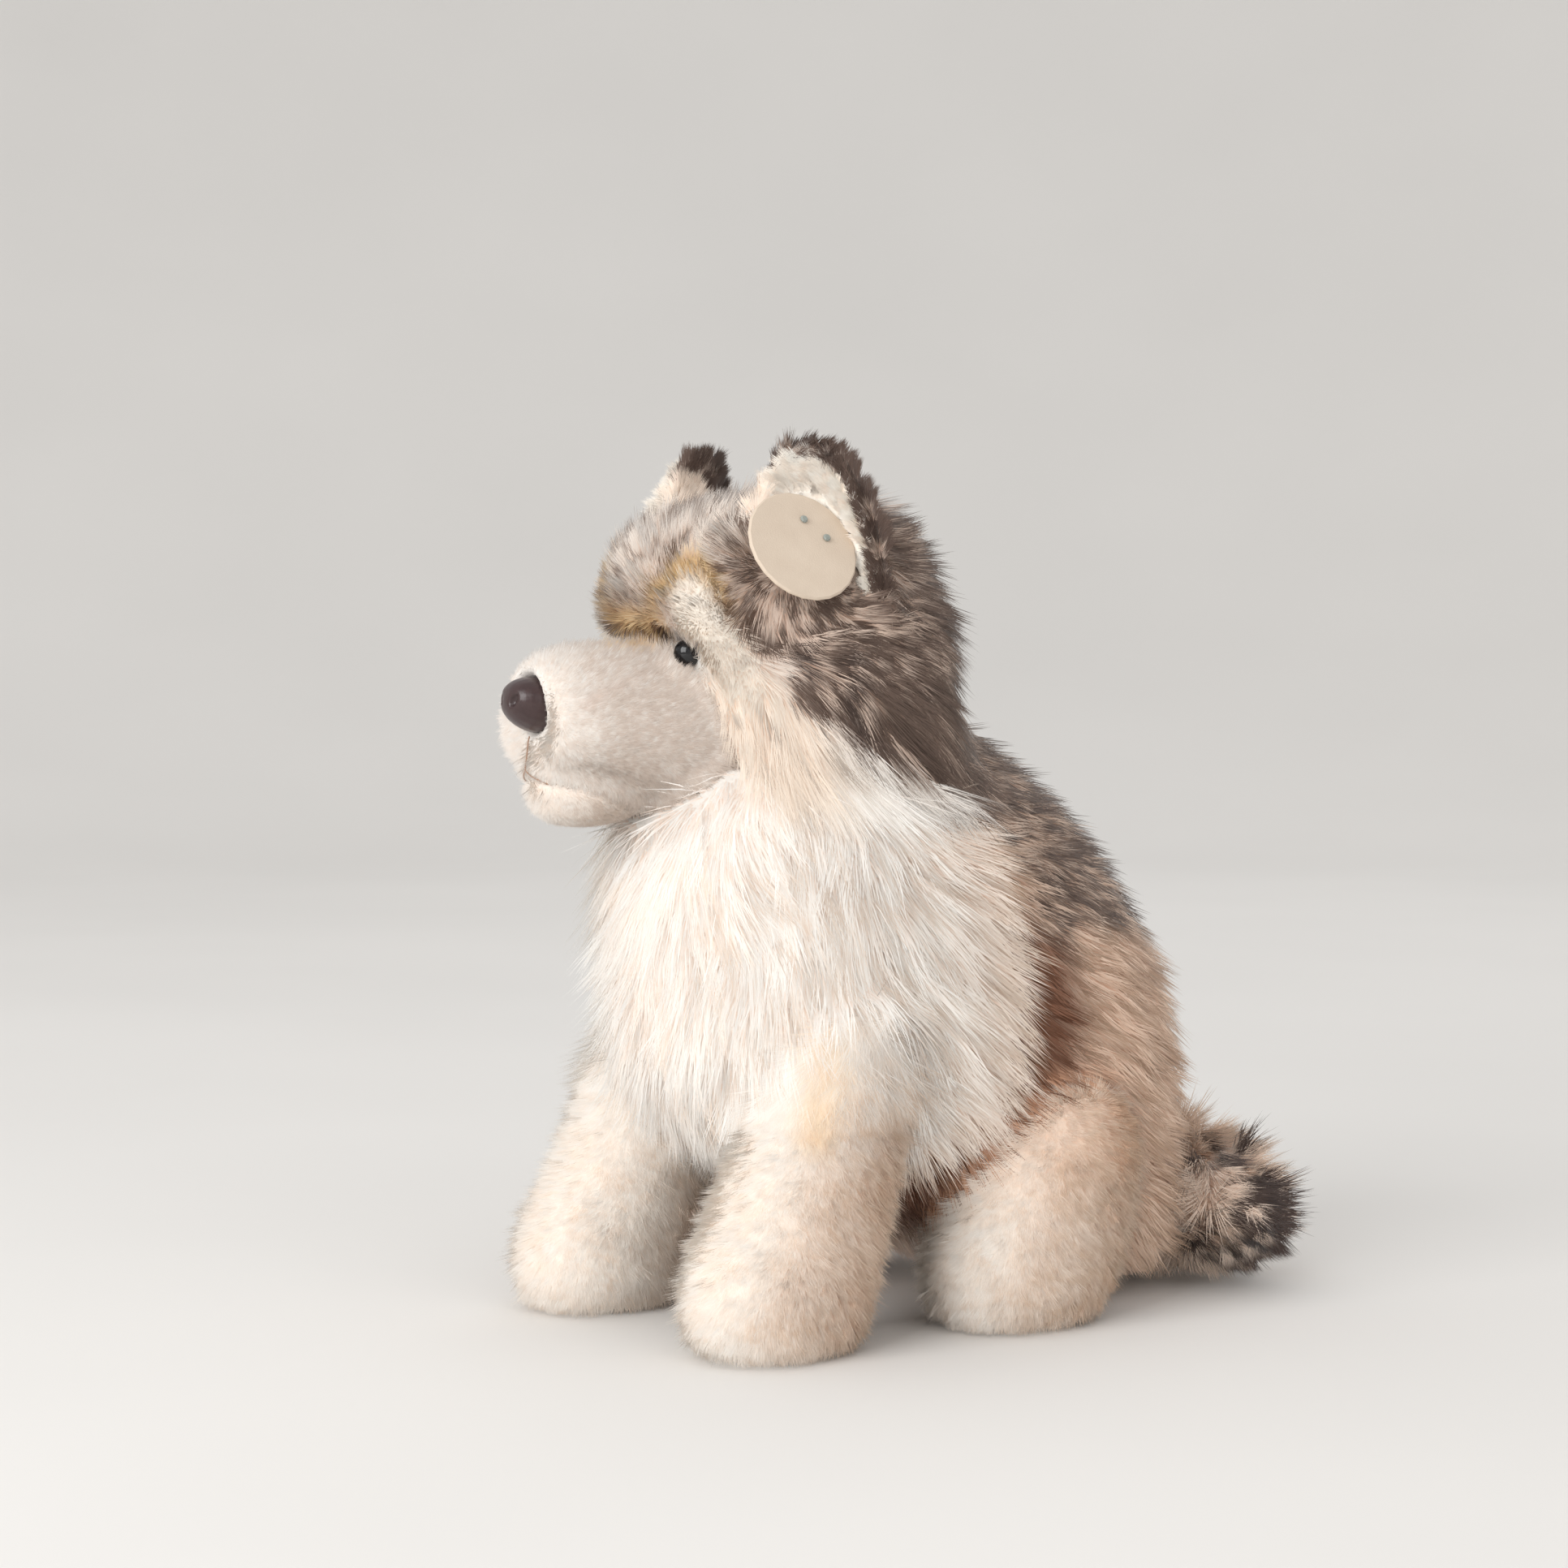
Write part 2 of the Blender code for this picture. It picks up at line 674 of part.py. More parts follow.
def make_hind_leg(side, root, torso_room):
    rings = []
    for share, way, deep, wide in HIND_LEG_LEVELS:
        x = side * 0.5 * HIND_PAW_SPACING
        y = -HIND_PAW_AHEAD + way * (HIND_LEG_BACK + HIND_PAW_AHEAD)
        centre = Vector((x, y, share * HIND_LEG_HEIGHT))
        along = Vector((0.0, -0.5 * deep * HIND_PAW_LENGTH, 0.0))
        across = Vector((0.5 * wide * HIND_PAW_WIDTH, 0.0, 0.0))
        rings.append(oval(centre, along, across, 10, LEG_FULLNESS))
    leg = loft("hind_leg_" + SIDE_NAMES[side], rings, root, None, "short_pile_cream")
    cut(leg, torso_room)


# Tail sizes, from its root to its tip
TAIL_SIZES = (0.55, 0.78, 0.94, 1.02, 1.02, 0.86, 0.56, 0.24)


def make_tail(root, torso_room):
    """A fat short tail that lies on the floor and sweeps from the rump to the left."""
    start = Vector((-TAIL_ROOT_SIDE, RUMP_REACH - TAIL_ROOT_SINK, TAIL_ROOT_HEIGHT))
    end = Vector((TAIL_SWEEP, RUMP_REACH - TAIL_TIP_SINK, TAIL_TIP_HEIGHT))
    bend = 0.5 * (start + end) + Vector((0.0, 2.0 * TAIL_BOW, 0.0))
    rings = []
    for i, size in enumerate(TAIL_SIZES):
        t = i / (len(TAIL_SIZES) - 1)
        point = start * (1 - t) ** 2 + bend * (2 * t * (1 - t)) + end * t ** 2
        heading = ((bend - start) * (1 - t) + (end - bend) * t).normalized()
        radius = 0.5 * size * TAIL_DIAMETER
        point.z = max(point.z, radius + FLOOR_GAP)
        side = Vector((0.0, 0.0, 1.0)).cross(heading).normalized()
        rise = heading.cross(side)
        rings.append(oval(point, side * radius, rise * radius, 10))
    tail = loft("tail", rings, root, None, "long_fur_grey")
    cut(tail, torso_room)


def make_tag(holder, pieces):
    """The tag hangs on the left ear's lining; two pins go through it into the ear."""
    ear = ear_frame(LEFT)
    spot = ear @ Vector((TAG_SHIFT, TAG_STANDOFF, TAG_RISE))
    frame = frame_on(spot, Vector(TAG_NORMAL), Vector((0.0, 0.0, 1.0)))
    radius = 0.5 * TAG_DIAMETER
    half = 0.5 * TAG_THICKNESS
    soft = TAG_EDGE_SOFTNESS * TAG_THICKNESS
    profile = [(0.0, half), (radius - soft, half), (radius, half - soft),
               (radius, soft - half), (radius - soft, -half), (0.0, -half)]
    tag = turned("ear_tag", profile, TAG_STEPS, holder, frame, "tag_leather")
    room = [(0.0, half + TAG_CLEARING), (radius + CLEARANCE, half + TAG_CLEARING),
            (radius + CLEARANCE, -half - CLEARANCE), (0.0, -half - CLEARANCE)]
    tag_room = turned("tag_room", room, TAG_STEPS, holder, frame)
    for piece in pieces:
        cut(piece, tag_room)
    shank = 0.5 * PIN_DIAMETER
    cap = 0.5 * PIN_HEAD_DIAMETER
    seat = half + CLEARANCE
    for name, step in (("upper", 0.5), ("lower", -0.5)):
        x = PIN_OFFSET * math.cos(PIN_BEARING) - step * PIN_SPACING * math.sin(PIN_BEARING)
        y = PIN_OFFSET * math.sin(PIN_BEARING) + step * PIN_SPACING * math.cos(PIN_BEARING)
        stand = frame @ Matrix.Translation(Vector((x, y, 0.0)))
        pin = [(0.0, seat + PIN_HEAD_THICKNESS), (0.7 * cap, seat + PIN_HEAD_THICKNESS),
               (cap, seat + 0.4 * PIN_HEAD_THICKNESS), (cap, seat), (shank, seat),
               (shank, seat - PIN_LENGTH), (0.0, seat - PIN_LENGTH)]
        turned("tag_pin_" + name, pin, PIN_STEPS, holder, stand, "pin_grey")
        bore = [(0.0, PIN_CLEARING), (shank + CLEARANCE, PIN_CLEARING),
                (shank + CLEARANCE, seat - PIN_LENGTH - CLEARANCE),
                (0.0, seat - PIN_LENGTH - CLEARANCE)]
        hole = turned("pin_room_" + name, bore, PIN_STEPS, holder, stand)
        for piece in [tag] + pieces:
            cut(piece, hole)


def stand_on_centre(root):
    """Move the wolf so that the middle of its box stands over the origin."""
    bpy.context.view_layer.update()
    graph = bpy.context.evaluated_depsgraph_get()
    low = Vector((1.0, 1.0))
    high = Vector((-1.0, -1.0))
    for piece in parts.objects:
        if piece.type != "MESH":
            continue
        solid = piece.evaluated_get(graph)
        for vertex in solid.data.vertices:
            point = solid.matrix_world @ vertex.co
            low = Vector((min(low.x, point.x), min(low.y, point.y)))
            high = Vector((max(high.x, point.x), max(high.y, point.y)))
    root.location = (-0.5 * (low.x + high.x), -0.5 * (low.y + high.y), 0.0)


for old in list(bpy.data.objects):
    bpy.data.objects.remove(old, do_unlink=True)

parts = bpy.data.collections.new("plush_wolf")
bpy.context.scene.collection.children.link(parts)
cutters = bpy.data.collections.new("cutters")
bpy.context.scene.collection.children.link(cutters)

wolf = empty("plush_wolf")
neck = empty("head_turn", wolf, Matrix.Translation((0.0, -HEAD_AHEAD, TORSO_HEIGHT + HEAD_LIFT))
             @ Matrix.Rotation(HEAD_TURN, 4, "Z"))

torso = make_torso(wolf)
torso_room = swollen(torso, CLEARANCE)
head = make_head(neck)
head_room = swollen(head, CLEARANCE)
muzzle = make_muzzle(neck)
muzzle_room = swollen(muzzle, CLEARANCE)
jaw = make_jaw(neck)
jaw_room = swollen(jaw, CLEARANCE)

for side in (LEFT, RIGHT):
    make_eye(side, neck, head, muzzle)
cut(muzzle, head_room)
cut(jaw, head_room)
cut(jaw, muzzle_room)
make_nose(neck, muzzle)
for room in (head_room, muzzle_room, jaw_room):
    cut(torso, room)

ears = {}
for side in (LEFT, RIGHT):
    ear, lining = make_ear(side, neck)
    cut(ear, swollen(lining, CLEARANCE))
    cut(ear, head_room)
    cut(lining, head_room)
    ears[side] = (ear, lining)
make_tag(neck, [*ears[LEFT], head])

for side in (LEFT, RIGHT):
    make_front_leg(side, wolf, torso_room)
    make_hind_leg(side, wolf, torso_room)
make_tail(wolf, torso_room)
stand_on_centre(wolf)
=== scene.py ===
"""The look of a sitting plush wolf: its stuffed covers, its fur, its moulded eyes and nose and its ear tag.

The wolf looks along -Y with its left side at +X. Lengths are in metres.
"""

import math

import bmesh
import bpy
import numpy as np
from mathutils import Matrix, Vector, noise
from mathutils.bvhtree import BVHTree


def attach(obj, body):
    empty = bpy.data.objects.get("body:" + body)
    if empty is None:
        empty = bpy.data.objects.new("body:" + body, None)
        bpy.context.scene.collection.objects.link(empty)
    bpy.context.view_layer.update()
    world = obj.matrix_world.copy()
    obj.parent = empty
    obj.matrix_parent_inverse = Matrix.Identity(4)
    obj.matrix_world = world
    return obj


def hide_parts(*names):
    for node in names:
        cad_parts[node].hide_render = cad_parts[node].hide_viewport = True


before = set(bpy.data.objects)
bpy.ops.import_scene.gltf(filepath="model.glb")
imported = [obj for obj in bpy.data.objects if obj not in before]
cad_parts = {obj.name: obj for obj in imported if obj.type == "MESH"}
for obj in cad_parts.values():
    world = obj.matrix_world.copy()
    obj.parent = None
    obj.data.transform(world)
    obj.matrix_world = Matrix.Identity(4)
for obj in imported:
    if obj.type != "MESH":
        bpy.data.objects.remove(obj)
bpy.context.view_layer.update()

# Torso: a sack of long cream plush with a mottled saddle, cut, sewn and filled with loose fibre.
# Its fur is woven through the backing cloth, combed down over the chest and back along the sides,
# and lies in pointed locks.
HOME = Vector((0.0, -0.0103, 0.0))
PLUSH_NODES = (
    "torso", "head", "muzzle", "lower_jaw", "ear_left", "ear_right", "ear_lining_left",
    "ear_lining_right", "front_leg_left", "front_leg_right", "hind_leg_left", "hind_leg_right", "tail",
)
MOULDED_NODES = ("nose", "eye_left", "eye_right")
JOIN_REACH = 0.00001
LEAST_LENGTH = 0.0001
SEAM_REACH = 0.0008
SEAM_DRAW = 0.0060
SEAM_LEAN = 0.0070
SEAM_KEPT = 0.0006
COVER_VOXEL = 0.0025
COVER_ROUNDS = 8


def dyed(red, green, blue):
    """A fibre colour, from its screen values of 0 to 255."""
    shares = np.array((red, green, blue)) / 255.0
    return np.where(shares <= 0.04045, shares / 12.92, ((shares + 0.055) / 1.055) ** 2.4)


WHITE = dyed(244, 242, 238)
CREAM = dyed(249, 237, 224)
PEACH = dyed(246, 222, 202)
TAN = dyed(228, 200, 174)
OCHRE = dyed(226, 194, 144)
DARK_BROWN = dyed(66, 54, 50)


def smooth(values):
    """Values from 0 to 1 eased at both ends."""
    share = np.clip(values, 0.0, 1.0)
    return share * share * (3.0 - 2.0 * share)


def past(values, start, run):
    """0 up to a start, then rising to 1 over a run."""
    return smooth((values - start) / run)


def short_of(values, end, run):
    """1 until a run before an end, then falling to 0 at the end."""
    return smooth((end - values) / run)


PATCH_EDGE = 1.3
PATCH_BLUR = 0.6


def patch(places, centre, reach):
    """1 well inside a soft-edged oval patch, 0 outside it. The reach is that of each half axis."""
    away = np.linalg.norm((places - np.array(centre)) / np.array(reach), axis=1)
    return short_of(away, PATCH_EDGE, PATCH_BLUR)


def near_path(places, path, reach, soft):
    """1 along a path of straight stretches, falling to 0 across its soft edge at the given reach."""
    away = np.full(len(places), np.inf)
    for start, end in zip(path[:-1], path[1:]):
        start = np.array(start)
        run = np.array(end) - start
        share = np.clip(((places - start) @ run) / (run @ run), 0.0, 1.0)
        away = np.minimum(away, np.linalg.norm(places - start - share[:, None] * run, axis=1))
    return smooth((reach + soft - away) / (2.0 * soft))


def blend(values, weight, new):
    """Values moved towards new ones by a weight."""
    if values.ndim == 2:
        weight = weight[:, None]
    return values + (new - values) * weight


MOTTLING_GAIN = 1.8


def mottling(points, span):
    """A soft number of about -1 to 1 for each point, which changes over about the given span."""
    return np.array([noise.noise(Vector(point) / span) for point in points]) * MOTTLING_GAIN


def body_places(points):
    """Points as distance from the middle, ahead of the wolf's centre, and up."""
    places = points - np.array(HOME)
    return np.column_stack((np.abs(places[:, 0]), -places[:, 1], places[:, 2]))


def joined_mesh(node):
    """A copy of a CAD node's mesh with its loose triangles joined."""
    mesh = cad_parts[node].data.copy()
    work = bmesh.new()
    work.from_mesh(mesh)
    bmesh.ops.remove_doubles(work, verts=work.verts, dist=JOIN_REACH)
    work.to_mesh(mesh)
    work.free()
    return mesh


def finished(piece):
    """The piece as a plain mesh, with its modifiers applied."""
    bpy.context.view_layer.update()
    graph = bpy.context.evaluated_depsgraph_get()
    mesh = bpy.data.meshes.new_from_object(piece.evaluated_get(graph))
    piece.modifiers.clear()
    piece.data = mesh
    return piece


def solid_tree(node):
    """A search tree of a CAD node's surface."""
    mesh = joined_mesh(node)
    tree = BVHTree.FromPolygons([v.co for v in mesh.vertices], [p.vertices[:] for p in mesh.polygons])
    bpy.data.meshes.remove(mesh)
    return tree


solid_trees = {node: solid_tree(node) for node in PLUSH_NODES + MOULDED_NODES}


def surface_of(piece):
    """The points and normals of a piece's vertices."""
    count = len(piece.data.vertices)
    points = np.empty(count * 3, np.float32)
    normals = np.empty(count * 3, np.float32)
    piece.data.vertices.foreach_get("co", points)
    piece.data.vertex_normals.foreach_get("vector", normals)
    return points.reshape(-1, 3).astype(float), normals.reshape(-1, 3).astype(float)


def seam_gaps(node, points):
    """How far each point lies from the nearest neighbour, up to the reach of a seam's draw.

    It comes with the way across the nearest plush seam, which fades out away from the seam.
    """
    gaps = np.full(len(points), SEAM_DRAW)
    leans = np.full(len(points), SEAM_LEAN)
    across = np.zeros((len(points), 3))
    for other, tree in solid_trees.items():
        if other == node:
            continue
        for i, point in enumerate(points):
            spot, _, _, away = tree.find_nearest(Vector(point), max(gaps[i], leans[i]))
            if away is None:
                continue
            gaps[i] = min(gaps[i], away)
            if other != "nose" and away < leans[i]:
                leans[i] = away
                across[i] = (np.array(spot) - point) / max(away, LEAST_LENGTH)
    return gaps, across * smooth(1.0 - leans / SEAM_LEAN)[:, None]


def near_node(points, node, reach):
    """1 on a neighbour's surface, falling to 0 at the given reach from it."""
    found = [solid_trees[node].find_nearest(Vector(point), reach)[3] for point in points]
    return np.array([0.0 if away is None else 1.0 - away / reach for away in found])


seam_ways = {}


def evened(name, node, voxel, rounds):
    """A CAD node's solid as a piece with its facets and edges eased."""
    piece = bpy.data.objects.new(name, joined_mesh(node))
    bpy.context.scene.collection.objects.link(piece)
    evening = piece.modifiers.new("Evening", "REMESH")
    evening.mode = "VOXEL"
    evening.voxel_size = voxel
    easing = piece.modifiers.new("Easing", "SMOOTH")
    easing.factor = 0.5
    easing.iterations = rounds
    return finished(piece)


def make_cover(node, drawn_in, voxel=COVER_VOXEL, swell=None):
    """The stuffed cover of one node, drawn in by its pile's room but for its seams.

    Where a swelling is given, the filling pushes the cover out by that much. The cover comes with
    its points and normals, and with 1 for each point where fur grows, 0 in a seam.
    """
    cover = evened(node + "_cover", node, voxel, COVER_ROUNDS)
    points, normals = surface_of(cover)
    gaps, seam_ways[cover.name] = seam_gaps(node, points)
    draw = np.full(len(points), drawn_in)
    if swell is not None:
        draw -= swell(points)
    draw *= past(gaps, SEAM_KEPT, SEAM_DRAW - SEAM_KEPT)
    points -= normals * draw[:, None]
    cover.data.vertices.foreach_set("co", np.ascontiguousarray(points, np.float32).ravel())
    cover.data.shade_smooth()
    cover.data.update()
    points, normals = surface_of(cover)
    return cover, points, normals, np.where(gaps < SEAM_REACH, 0.0, 1.0)


def new_coat(count, light, dark, pile, lay=0.75):
    """Fur values for each vertex of a cover, before a piece's own marks.

    They are the colours of a strand's root and of its marked tip, how far the mark reaches, the
    strand's length, and how flat it lies.
    """
    return {
        "light": np.tile(light, (count, 1)),
        "dark": np.tile(dark, (count, 1)),
        "shade": np.zeros(count),
        "pile": np.full(count, pile),
        "lay": np.full(count, lay),
    }


def work_in(coat, weight, **values):
    """Move some of a coat's values towards new ones by a weight."""
    for name, value in values.items():
        coat[name] = blend(coat[name], weight, value)


def keep(mesh, name, values):
    """Store one number or one vector for each vertex."""
    kind, key = ("FLOAT", "value") if values.ndim == 1 else ("FLOAT_VECTOR", "vector")
    layer = mesh.attributes.new(name, kind, "POINT")
    layer.data.foreach_set(key, np.ascontiguousarray(values, np.float32).ravel())


WAVE_SEED = 5
COMB_WAVES = ((0.016, 0.55), (0.006, 0.25))
noise.seed_set(WAVE_SEED)


def waves(points, span, strength):
    """Soft random leanings that change over about the given span."""
    leanings = [noise.noise_vector(Vector(point) / span) for point in points]
    return np.array(leanings) * strength


def dress(cover, coat, comb, normals, shares, over=1.2):
    """Write a coat onto its cover: colours, length, lie, comb direction and where fur grows.

    Beside a seam the fur leans over it, as strongly as the last value says.
    """
    comb = comb / np.maximum(np.linalg.norm(comb, axis=1), LEAST_LENGTH)[:, None]
    points = surface_of(cover)[0]
    for span, strength in COMB_WAVES:
        comb = comb + waves(points, span, strength)
    comb = comb + seam_ways[cover.name] * np.reshape(over, (-1, 1))
    flat = comb - normals * np.sum(comb * normals, axis=1)[:, None]
    flat /= np.maximum(np.linalg.norm(flat, axis=1), LEAST_LENGTH)[:, None]
    keep(cover.data, "nap", normals)
    keep(cover.data, "comb", flat)
    keep(cover.data, "grows", shares)
    for name, values in coat.items():
        keep(cover.data, name, values)


def add(tree, kind, **settings):
    """A new node of a tree with its settings."""
    made = tree.nodes.new(kind)
    for name, value in settings.items():
        setattr(made, name, value)
    return made


def feed(tree, source, socket):
    """Give a socket a link or a plain value."""
    if isinstance(source, bpy.types.NodeSocket):
        tree.links.new(source, socket)
    else:
        socket.default_value = source


def figure(tree, operation, first, second=0.0, third=0.0):
    """A Math node."""
    made = add(tree, "ShaderNodeMath", operation=operation)
    feed(tree, first, made.inputs[0])
    feed(tree, second, made.inputs[1])
    feed(tree, third, made.inputs[2])
    return made.outputs[0]


def arrow(tree, operation, first, second=(0.0, 0.0, 0.0)):
    """A Vector Math node; Scale takes a number as its second value."""
    made = add(tree, "ShaderNodeVectorMath", operation=operation)
    feed(tree, first, made.inputs[0])
    feed(tree, second, made.inputs["Scale"] if operation == "SCALE" else made.inputs[1])
    return made.outputs[0]


def kept(tree, name, kind="FLOAT"):
    """A Named Attribute node of a geometry tree."""
    made = add(tree, "GeometryNodeInputNamedAttribute", data_type=kind)
    made.inputs["Name"].default_value = name
    return made.outputs["Attribute"]


def store(tree, geometry, name, value, kind="FLOAT", domain="POINT"):
    """A Store Named Attribute node of a geometry tree."""
    made = add(tree, "GeometryNodeStoreNamedAttribute", data_type=kind, domain=domain)
    made.inputs["Name"].default_value = name
    feed(tree, geometry, made.inputs["Geometry"])
    feed(tree, value, made.inputs["Value"])
    return made.outputs["Geometry"]


def chance(tree, number, seed):
    """A random vector of -1 to 1 for each number."""
    made = add(tree, "FunctionNodeRandomValue", data_type="FLOAT_VECTOR")
    made.inputs[0].default_value = (-1.0, -1.0, -1.0)
    made.inputs[1].default_value = (1.0, 1.0, 1.0)
    feed(tree, number, made.inputs["ID"])
    feed(tree, seed, made.inputs["Seed"])
    return made.outputs[0]


def split(tree, vector):
    """The three parts of a vector."""
    made = add(tree, "ShaderNodeSeparateXYZ")
    feed(tree, vector, made.inputs[0])
    return made.outputs


STRAND_LENGTHS = (0.20, 0.90)
LOCK_LENGTHS = (0.14, 1.0)
STRAND_TWIST = 0.35
ROOT_SINK = 0.0003
FLOOR_GAP = 0.0004
FUR_INPUTS = (
    ("Blade", "NodeSocketObject"),
    ("Strands per Area", "NodeSocketFloat"),
    ("Locks per Area", "NodeSocketFloat"),
    ("Strand Width", "NodeSocketFloat"),
    ("Frizz", "NodeSocketFloat"),
    ("Lock Spread", "NodeSocketFloat"),
    ("Lock Pull", "NodeSocketFloat"),
    ("Droop", "NodeSocketFloat"),
    ("Seed", "NodeSocketInt"),
    ("Fur Material", "NodeSocketMaterial"),
)


def make_fur_tree():
    """Fur on a dressed cover: strands grow from random points and gather into locks."""
    tree = bpy.data.node_groups.new("Plush fur", "GeometryNodeTree")
    tree.interface.new_socket(name="Cover", in_out="INPUT", socket_type="NodeSocketGeometry")
    for name, kind in FUR_INPUTS:
        tree.interface.new_socket(name=name, in_out="INPUT", socket_type=kind)
    tree.interface.new_socket(name="Fur", in_out="OUTPUT", socket_type="NodeSocketGeometry")
    given = add(tree, "NodeGroupInput").outputs
    grows = kept(tree, "grows")

    # Roots of the strands, and the roots of the locks that they gather into
    roots = add(tree, "GeometryNodeDistributePointsOnFaces")
    feed(tree, given["Cover"], roots.inputs["Mesh"])
    feed(tree, figure(tree, "MULTIPLY", given["Strands per Area"], grows), roots.inputs["Density"])
    feed(tree, given["Seed"], roots.inputs["Seed"])
    locks = add(tree, "GeometryNodeDistributePointsOnFaces")
    feed(tree, given["Cover"], locks.inputs["Mesh"])
    feed(tree, given["Locks per Area"], locks.inputs["Density"])
    feed(tree, figure(tree, "ADD", given["Seed"], 7.0), locks.inputs["Seed"])
    place = add(tree, "GeometryNodeInputPosition").outputs[0]
    nearest = add(tree, "GeometryNodeSampleNearest")
    feed(tree, locks.outputs["Points"], nearest.inputs["Geometry"])
    feed(tree, place, nearest.inputs["Sample Position"])
    lock_root = add(tree, "GeometryNodeSampleIndex", data_type="FLOAT_VECTOR")
    feed(tree, locks.outputs["Points"], lock_root.inputs["Geometry"])
    feed(tree, place, lock_root.inputs["Value"])
    feed(tree, nearest.outputs["Index"], lock_root.inputs["Index"])
    number = add(tree, "GeometryNodeInputIndex").outputs[0]
    lock_seed = figure(tree, "ADD", given["Seed"], 3.0)
    points = roots.outputs["Points"]
    points = store(tree, points, "root", place, "FLOAT_VECTOR")
    points = store(tree, points, "lock_root", lock_root.outputs["Value"], "FLOAT_VECTOR")
    points = store(tree, points, "strand", chance(tree, number, given["Seed"]), "FLOAT_VECTOR")
    lock_chance = chance(tree, nearest.outputs["Index"], lock_seed)
    points = store(tree, points, "lock", lock_chance, "FLOAT_VECTOR")
    points = store(tree, points, "number", number)
    size = add(tree, "GeometryNodeAttributeDomainSize", component="POINTCLOUD")
    feed(tree, roots.outputs["Points"], size.inputs["Geometry"])

    # One blade on each root, made real so that it can be bent
    blade = add(tree, "GeometryNodeObjectInfo")
    feed(tree, given["Blade"], blade.inputs["Object"])
    growing = add(tree, "GeometryNodeInstanceOnPoints")
    feed(tree, points, growing.inputs["Points"])
    feed(tree, blade.outputs["Geometry"], growing.inputs["Instance"])
    real = add(tree, "GeometryNodeRealizeInstances")
    feed(tree, growing.outputs["Instances"], real.inputs["Geometry"])

    # The strand's line: out of the cover, over into the comb direction, and towards its lock
    along = kept(tree, "along")
    side = kept(tree, "side")
    nap = kept(tree, "nap", "FLOAT_VECTOR")
    comb = kept(tree, "comb", "FLOAT_VECTOR")
    strand = kept(tree, "strand", "FLOAT_VECTOR")
    lock = kept(tree, "lock", "FLOAT_VECTOR")
    root = kept(tree, "root", "FLOAT_VECTOR")
    strand_share = split(tree, strand)[2]
    lock_share = split(tree, lock)[2]
    strand_scale = figure(tree, "MULTIPLY_ADD", strand_share, *STRAND_LENGTHS)
    lock_scale = figure(tree, "MULTIPLY_ADD", lock_share, *LOCK_LENGTHS)
    scale = figure(tree, "MULTIPLY", strand_scale, lock_scale)
    length = figure(tree, "MULTIPLY", kept(tree, "pile"), scale)
    heading = arrow(tree, "ADD", comb, arrow(tree, "SCALE", lock, given["Lock Spread"]))
    heading = arrow(tree, "ADD", heading, arrow(tree, "SCALE", strand, given["Frizz"]))
    heading = arrow(tree, "NORMALIZE", heading)
    lay = kept(tree, "lay")
    stand = figure(tree, "SUBTRACT", 1.0, figure(tree, "MULTIPLY", lay, 0.8))
    rise = figure(tree, "MULTIPLY", stand, along)
    over = figure(tree, "MULTIPLY_ADD", along, 0.4, 0.6)
    over = figure(tree, "MULTIPLY", figure(tree, "MULTIPLY", over, along), lay)
    line = arrow(tree, "ADD", arrow(tree, "SCALE", nap, rise), arrow(tree, "SCALE", heading, over))
    squared = figure(tree, "MULTIPLY", along, along)
    fall = figure(tree, "MULTIPLY", squared, given["Droop"])
    line = arrow(tree, "ADD", line, arrow(tree, "SCALE", (0.0, 0.0, -1.0), fall))
    line = arrow(tree, "SCALE", line, length)
    towards = arrow(tree, "SUBTRACT", kept(tree, "lock_root", "FLOAT_VECTOR"), root)
    pull = figure(tree, "MULTIPLY", squared, given["Lock Pull"])
    line = arrow(tree, "ADD", line, arrow(tree, "SCALE", towards, pull))
    across = arrow(tree, "CROSS_PRODUCT", nap, heading)
    across = arrow(tree, "ADD", across, arrow(tree, "SCALE", strand, STRAND_TWIST))
    across = arrow(tree, "NORMALIZE", across)
    half = figure(tree, "MULTIPLY", figure(tree, "MULTIPLY", side, 0.5), given["Strand Width"])
    spot = arrow(tree, "ADD", root, arrow(tree, "SCALE", nap, -ROOT_SINK))
    spot = arrow(tree, "ADD", arrow(tree, "ADD", spot, line), arrow(tree, "SCALE", across, half))
    above_floor = arrow(tree, "MAXIMUM", spot, (-1.0, -1.0, FLOOR_GAP))
    setting = add(tree, "GeometryNodeSetPosition")
    feed(tree, real.outputs["Geometry"], setting.inputs["Geometry"])
    feed(tree, above_floor, setting.inputs["Position"])

    # Each strand has its own cell of the map, so a baked colour stays with it
    cells = figure(tree, "CEIL", figure(tree, "SQRT", size.outputs["Point Count"]))
    column = figure(tree, "MODULO", kept(tree, "number"), cells)
    row = figure(tree, "FLOOR", figure(tree, "DIVIDE", kept(tree, "number"), cells))
    u = figure(tree, "ADD", column, figure(tree, "MULTIPLY", figure(tree, "ADD", side, 1.25), 0.4))
    v = figure(tree, "ADD", row, figure(tree, "MULTIPLY", figure(tree, "ADD", along, 0.125), 0.8))
    cell = add(tree, "ShaderNodeCombineXYZ")
    feed(tree, figure(tree, "DIVIDE", u, cells), cell.inputs[0])
    feed(tree, figure(tree, "DIVIDE", v, cells), cell.inputs[1])
    mapped = store(tree, setting.outputs["Geometry"], "OFBake", cell.outputs[0], "FLOAT2", "CORNER")
    coloured = add(tree, "GeometryNodeSetMaterial")
    feed(tree, mapped, coloured.inputs["Geometry"])
    feed(tree, given["Fur Material"], coloured.inputs["Material"])
    last = add(tree, "NodeGroupOutput")
    feed(tree, coloured.outputs["Geometry"], last.inputs["Fur"])
    return tree


fur_tree = make_fur_tree()


BLADE_TAPER = 0.45


